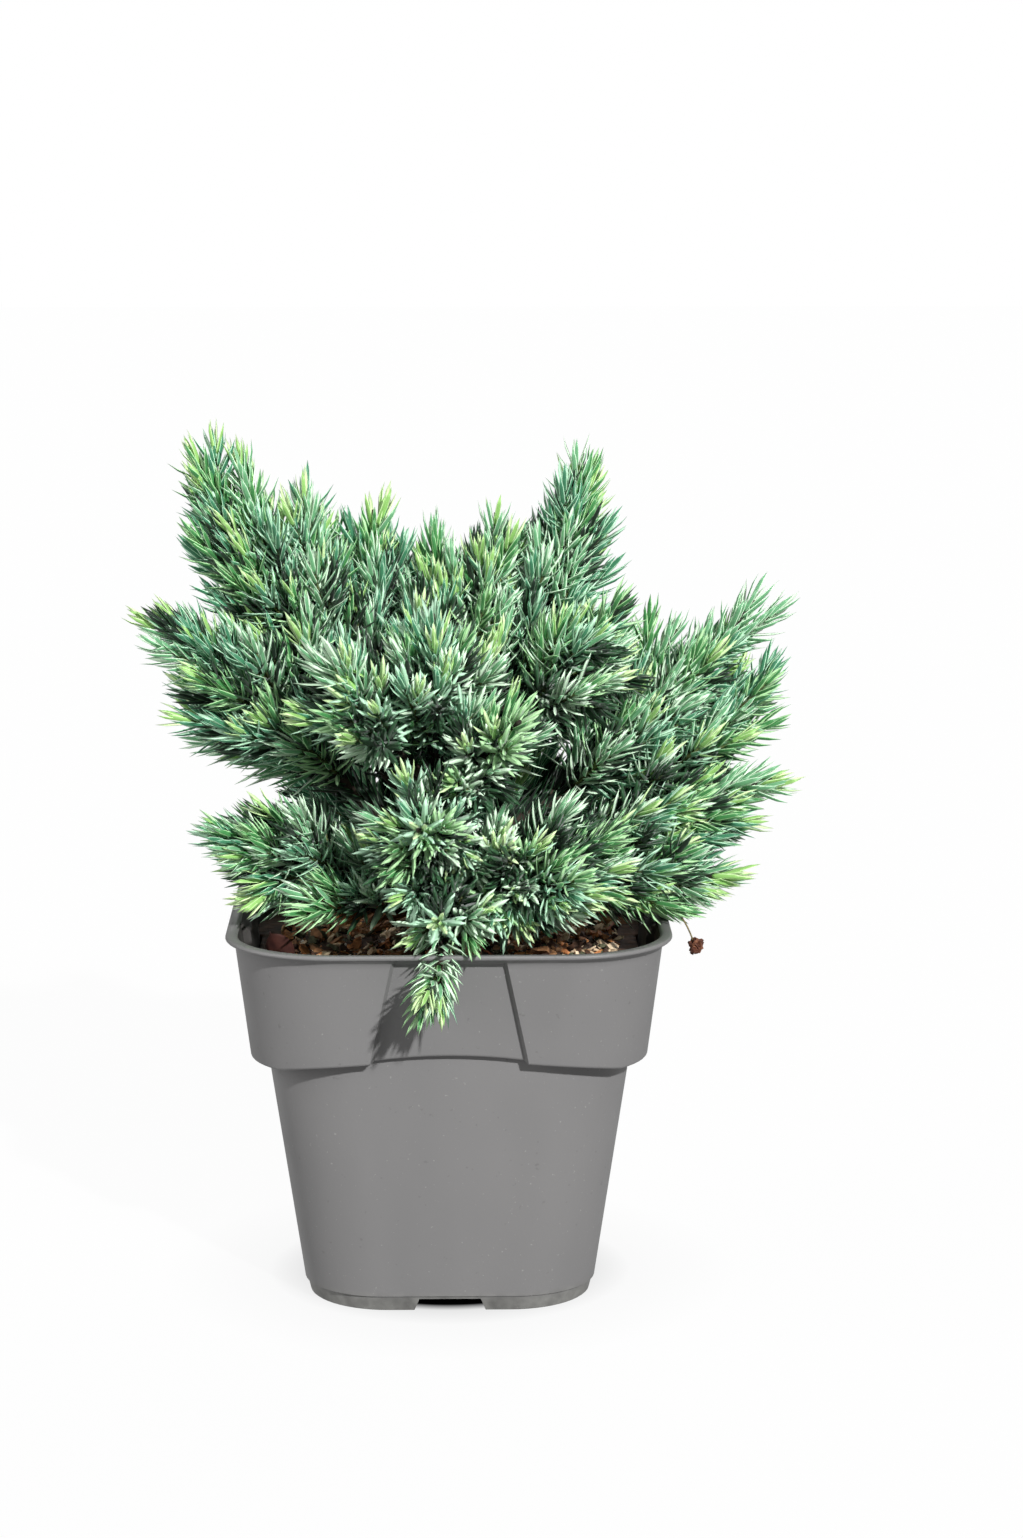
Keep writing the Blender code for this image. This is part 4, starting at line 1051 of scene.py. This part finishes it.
def side_direction(direction, azimuth, lean):
    """A direction that leans out from another one."""
    side = np.cross(UP, direction)
    if np.linalg.norm(side) < 1e-4:
        side = np.array([1.0, 0.0, 0.0])
    side = unit(side)
    rise = np.cross(direction, side)
    outward = side * cos(azimuth) + rise * sin(azimuth)
    return unit(direction * cos(lean) + outward * sin(lean))


def mass_radius(path, share):
    """How far a mass reaches from its stem at a share of the stem."""
    to_tip = (1.0 - share) * (1.0 - path.limb.bare) * path.length
    return min(path.limb.girth, path.limb.spread * to_tip + TIP_WIDTH)


def fit_curve(room, path, start, direction, length, pull, more=0.0):
    """The longest curve that stays in the mass's space with its length, or nothing."""
    while length >= SHORTEST_TWIG:
        points = curve_from(start, direction, length, pull)
        needle_tip = points[-1:] + unit(points[-1] - points[-2]) * BRUSH_OVERHANG
        if (room.holds(points[2:], path, TWIG_ROOM + more).all()
                and room.holds(needle_tip, path, NEEDLE_ROOM + more).all()):
            return points, length
        length *= SHORTER
    return None, 0.0


def stem_shoots(path):
    """The leader, whose needles end at the mass's tip, and the needled stem behind it."""
    leader = np.array([path.point(share) for share in np.linspace(LEADER_FROM, 1.0, SEGMENTS + 1)])
    leader[-1] -= path.direction(1.0) * BRUSH_OVERHANG
    stem = np.array([path.point(share) for share in
                     np.linspace(0.5 * path.limb.bare, STEM_SHOOT_TO, SEGMENTS + 1)])
    return [Shoot(leader, 0.0, 1, 1.0), Shoot(stem, 0.0, 2, 0.0)]


def side_shoots(path, room, picker, points, length):
    """The shoots round one twig, shorter towards its tip."""
    shoots = []
    place = SHOOT_FIRST * length + picker.uniform(0, SHOOT_SPACING)
    turn = picker.uniform(0, 2 * pi)
    while place < SHOOT_LAST * length:
        along = place / length * SEGMENTS
        low = min(int(along), SEGMENTS - 1)
        start = points[low] + (points[low + 1] - points[low]) * (along - low)
        heading = unit(points[low + 1] - points[low])
        turn += GOLDEN_ANGLE + picker.uniform(-0.4, 0.4)
        side = side_direction(heading, turn, SHOOT_LEAN * picker.uniform(0.8, 1.2))
        wanted = SIDE_SHOOT_SHARE * (length - place) + SIDE_SHOOT_EXTRA
        wanted *= picker.uniform(0.8, 1.15)
        pull = heading * AHEAD + UP * (LIFT * 0.5 * picker.random())
        twig, _ = fit_curve(room, path, start, side, wanted, pull)
        if twig is not None:
            shoots.append(Shoot(twig, BARE_SHOOT, 2, place / length))
        place += SHOOT_SPACING * picker.uniform(0.8, 1.25)
    return shoots


def grow_mass(path, room, picker):
    """The shoots of one mass: its leader, twigs round the stem and shoots on the twigs."""
    limb = path.limb
    shoots = stem_shoots(path)
    count = round((1.0 - limb.bare) * path.length / TWIG_SPACING)
    azimuth = picker.uniform(0, 2 * pi)
    for index in range(count):
        azimuth += GOLDEN_ANGLE + picker.uniform(-0.3, 0.3)
        share = TWIG_FIRST + (TWIG_LAST - TWIG_FIRST) * (index + picker.random()) / count
        whole = limb.bare + (1.0 - limb.bare) * share
        ahead = path.direction(whole)
        lean = TWIG_LEAN_FOOT + (TWIG_LEAN_TIP - TWIG_LEAN_FOOT) * share
        lean *= picker.uniform(0.75, 1.1)
        direction = side_direction(ahead, azimuth, lean)
        wanted = min(mass_radius(path, share) * picker.uniform(*TWIG_REACH) / sin(0.8 * lean),
                     LONGEST_TWIG)
        pull = UP * (LIFT * picker.uniform(0.2, 1.0)) + ahead * AHEAD
        more = LEADING_ROOM if picker.random() < LEADING_SHARE else 0.0
        points, length = fit_curve(room, path, path.point(whole), direction, wanted + more, pull,
                                   more)
        if points is not None:
            shoots.append(Shoot(points, BARE_TWIG, 1, length / wanted))
            shoots += side_shoots(path, room, picker, points, length)
    return shoots


def whorls_of(shoot, rng):
    """Places of a shoot's whorls, the shoot's direction there and the way left to its tip."""
    steps = np.linalg.norm(np.diff(shoot.points, axis=0), axis=1)
    marks = np.concatenate([[0.0], np.cumsum(steps)])
    length = marks[-1]
    first = shoot.bare * length
    count = max(3, int((length - first) / WHORL_SPACING))
    places = first + (length - first) * (np.arange(count) + 0.5) / count
    places += rng.uniform(-0.2, 0.2, count) * WHORL_SPACING
    centres = np.stack([np.interp(places, marks, shoot.points[:, k]) for k in range(3)], axis=1)
    inner = np.clip(np.searchsorted(marks, places) - 1, 0, SEGMENTS - 1)
    return centres, unit(np.diff(shoot.points, axis=0)[inner]), length - places


def needles_of(shoot, rng):
    """The needles of a shoot: foot, heading, upper side, length and way left to the tip."""
    centres, axis, to_tip = whorls_of(shoot, rng)
    count = len(centres)
    side = unit(np.cross(axis, SKEW))
    rise = np.cross(axis, side)
    turns = rng.uniform(0, 2 * pi) + np.arange(count) * radians(60)
    turns = turns[:, None] + np.arange(3) * radians(120)
    turns = (turns + rng.normal(0, NEEDLE_TURN_SPREAD, (count, 3))).ravel()
    axis = np.repeat(axis, 3, axis=0)
    radial = (np.repeat(side, 3, axis=0) * np.cos(turns)[:, None]
              + np.repeat(rise, 3, axis=0) * np.sin(turns)[:, None])
    to_tip = np.repeat(to_tip, 3)
    brush = np.clip(to_tip / BRUSH_LENGTH, 0.0, 1.0)
    lean = NEEDLE_LEAN_TIP + (NEEDLE_LEAN_FOOT - NEEDLE_LEAN_TIP) * brush
    lean = lean + rng.normal(0, NEEDLE_LEAN_SPREAD, len(lean))
    cosine, sine = np.cos(lean)[:, None], np.sin(lean)[:, None]
    heading = axis * cosine + radial * sine
    upper = axis * sine - radial * cosine
    length = NEEDLE_LENGTH * (TIP_NEEDLE_LENGTH + FOOT_NEEDLE_EXTRA * brush)
    length = length * rng.uniform(*NEEDLE_LENGTH_SPREAD, len(lean))
    foot = np.repeat(centres, 3, axis=0) + radial * (0.5 * TWIG_TIP_RADIUS)
    return foot, heading, upper, length, to_tip


def needle_mesh(foot, heading, upper, length, bend):
    """Points, triangles and slots of needles, each a closed bent blade with a keel underneath.

    A slot is 0 on the pale upper side and the pale margins, and 1 on the green underside.
    """
    side = np.cross(heading, upper)
    size = length[:, None]
    curve = bend[:, None] * size
    width = NEEDLE_WIDTH * size / NEEDLE_LENGTH
    columns = [foot]
    for share, half, depth in NEEDLE_SECTIONS:
        middle = foot + heading * (share * size) + upper * (curve * share ** 2)
        right = middle + side * (half * width)
        left = middle - side * (half * width)
        keel = middle - upper * (depth * width)
        columns += [right, left, left + (keel - left) * MARGIN_SHARE, keel,
                    right + (keel - right) * MARGIN_SHARE]
    columns.append(foot + heading * size + upper * curve)
    points = np.stack(columns, axis=1).reshape(-1, 3)
    sides = 5
    tip = 1 + 2 * sides
    pale = (0, 0, 1, 1, 0)
    corners = []
    slots = []
    for i in range(sides):
        j = (i + 1) % sides
        near, beside = 1 + i, 1 + j
        far, far_beside = near + sides, beside + sides
        corners += [(0, near, beside), (near, far, far_beside), (near, far_beside, beside),
                    (far, tip, far_beside)]
        slots += [pale[i]] * 4
    faces = np.arange(len(foot))[:, None, None] * (tip + 1) + np.array(corners)
    return points, faces.reshape(-1, 3).tolist(), np.array(slots)


def spray_kinds(shoot, foot, to_tip, rng):
    """The kind of each needle of a spray: one colour, with young tips, or dark inside as painted shade.
    """
    kinds = np.full(len(foot), rng.choice(3, p=SPRAY_SHARES))
    if rng.random() < YOUNG_SHARE:
        kinds[to_tip < rng.uniform(*YOUNG_REACH)] = KINDS.index("young")
    # Inner side shoots and needled stems turn dark: painted shade inside the crown
    if shoot.order == 2 and shoot.depth < PAINTED_SHADE_DEPTH:
        kinds[:] = KINDS.index("dark")
        near_trunk = np.hypot(*foot[0][:2]) < DRY_REACH and foot[0][2] < DRY_TOP
        if near_trunk and rng.random() < DRY_SHARE:
            kinds[:] = KINDS.index("dry")
    return kinds


def make_needles(shoots_by_mass):
    """The needle pieces: one for each group of masses, coloured by spray."""
    materials = []
    for kind in KINDS:
        for part, shade in zip(("upper", "under"), NEEDLE_COLOURS[kind]):
            materials.append(needle_material(kind + "_" + part, shade))
    groups = {}
    for limb in LIMBS:
        groups.setdefault(limb.group, []).append(limb.name)
    for group, names in groups.items():
        rng = np.random.default_rng(sum(ord(letter) for letter in group))
        rows = []
        kinds = []
        for name in names:
            for shoot in shoots_by_mass[name]:
                foot, heading, upper, length, to_tip = needles_of(shoot, rng)
                kinds.append(spray_kinds(shoot, foot, to_tip, rng))
                rows.append((foot, heading, upper, length, rng.uniform(*NEEDLE_BEND, len(foot))))
        points, faces, sides = needle_mesh(*(np.concatenate(column) for column in zip(*rows)))
        slots = (np.concatenate(kinds)[:, None] * 2 + sides).ravel()
        piece = make_object("needles_" + group, points, faces, materials, slots, True)
        dress(piece, "needles", *names)


def make_twigs(shoots_by_mass):
    """The thin twigs that carry the needles."""
    corners = []
    last = TWIG_SIDES * SEGMENTS
    for low in range(0, last, TWIG_SIDES):
        for i in range(TWIG_SIDES):
            j = (i + 1) % TWIG_SIDES
            high = low + TWIG_SIDES
            corners.append((low + i, low + j, high + j))
            corners.append((low + i, high + j, high + i))
    corners += [(2, 1, 0), (last, last + 1, last + 2)]
    angles = 2 * pi * np.arange(TWIG_SIDES) / TWIG_SIDES
    radii = np.linspace(TWIG_RADIUS, TWIG_TIP_RADIUS, SEGMENTS + 1)
    rings = []
    for shoots in shoots_by_mass.values():
        for shoot in shoots:
            direction = unit(shoot.points[-1] - shoot.points[0])
            side = unit(np.cross(direction, SKEW))
            rise = np.cross(direction, side)
            spokes = np.outer(np.cos(angles), side) + np.outer(np.sin(angles), rise)
            rings.append(shoot.points[:, None, :] + radii[:, None, None] * spokes[None])
    points = np.array(rings).reshape(-1, 3)
    starts = np.arange(len(rings)) * (TWIG_SIDES * (SEGMENTS + 1))
    faces = (starts[:, None, None] + np.array(corners)).reshape(-1, 3).tolist()
    dress(make_object("twigs", points, faces, [mottled("twig")], smooth=True), "bark")


# Stage


def make_floor():
    """A pale floor that glows white to the camera, with a soft shadow painted into its glow close round
    the pot.
    """
    corners = [(x * FLOOR_HALF, y * FLOOR_HALF, 0) for x, y in ((-1, -1), (1, -1), (1, 1), (-1, 1))]
    material, tree, shader = new_material("floor", FLOOR_GREY, 0.9)
    seen = add(tree, "LightPath").outputs["Is Camera Ray"]
    strength = add(tree, "MapRange", Value=seen, To_Min=FLOOR_BOUNCE)
    glow = add(tree, "TexGradient")
    glow.gradient_type = "SPHERICAL"
    feed(tree, glow, Vector=on_object(tree, (1.0 / PAINTED_SHADOW_REACH, 1.0 / PAINTED_SHADOW_REACH, 1.0)))
    # The glow falls off close round the pot: a painted contact shadow
    shade = add_ramp(tree, glow.outputs["Fac"],
                     (0.0, FLOOR_GLOW), (0.37, 0.93), (0.52, 0.78), (0.58, 0.0))
    feed(tree, shader, Specular_IOR_Level=0.0, Emission_Color=shade,
         Emission_Strength=strength.outputs["Result"])
    make_object("floor", corners, [(0, 1, 2, 3)], [material])


def make_world():
    """White surroundings that light the part less than the camera sees them."""
    world = bpy.data.worlds.new("studio")
    bpy.context.scene.world = world
    world.use_nodes = True
    tree = world.node_tree
    lighting = feed(tree, tree.nodes["Background"], Color=rgba(1.0), Strength=WORLD_LIGHT)
    seen = add(tree, "Background", Color=rgba(1.0), Strength=WORLD_SEEN)
    mix = add(tree, "MixShader", Fac=add(tree, "LightPath").outputs["Is Camera Ray"])
    tree.links.new(lighting.outputs["Background"], mix.inputs[1])
    tree.links.new(seen.outputs["Background"], mix.inputs[2])
    feed(tree, tree.nodes["World Output"], Surface=mix.outputs["Shader"])


def make_lights():
    """A crisp key from the upper right, a soft fill from the left and a soft back light."""
    for name, strength, width, azimuth, elevation in LIGHTS:
        light = bpy.data.lights.new(name, "SUN")
        light.energy = strength
        light.angle = radians(width)
        around = radians(azimuth)
        up = radians(elevation)
        towards = Vector((sin(around) * cos(up), -cos(around) * cos(up), sin(up)))
        light_object = bpy.data.objects.new(name, light)
        light_object.rotation_euler = towards.to_track_quat("Z", "Y").to_euler()
        light_object.location = towards * LIGHT_DISTANCE
        bpy.context.scene.collection.objects.link(light_object)


def make_camera():
    """The camera at the photograph's place."""
    scene = bpy.context.scene
    camera = bpy.data.cameras.new("camera")
    camera.sensor_width = SENSOR_MM
    camera.lens = FOCAL_PX / FRAME_HEIGHT_PX * SENSOR_MM
    camera_object = bpy.data.objects.new("camera", camera)
    scene.collection.objects.link(camera_object)
    camera_object.location = (0.0, -CAMERA_DISTANCE, CAMERA_HEIGHT)
    camera_object.rotation_euler = (0.5 * pi - CAMERA_PITCH, 0.0, -CAMERA_YAW)
    scene.camera = camera_object
    scene.view_settings.view_transform = "Standard"


def main():
    make_floor()
    make_world()
    make_lights()
    make_camera()
    make_pot()
    make_soil()
    make_litter()
    make_leaf()
    make_stalk()
    paths = make_paths()
    make_bark(paths)
    room = Room(paths)
    shoots_by_mass = {}
    for name, path in paths.items():
        shoots_by_mass[name] = grow_mass(path, room, random.Random("juniper " + name))
    make_twigs(shoots_by_mass)
    make_needles(shoots_by_mass)


main()
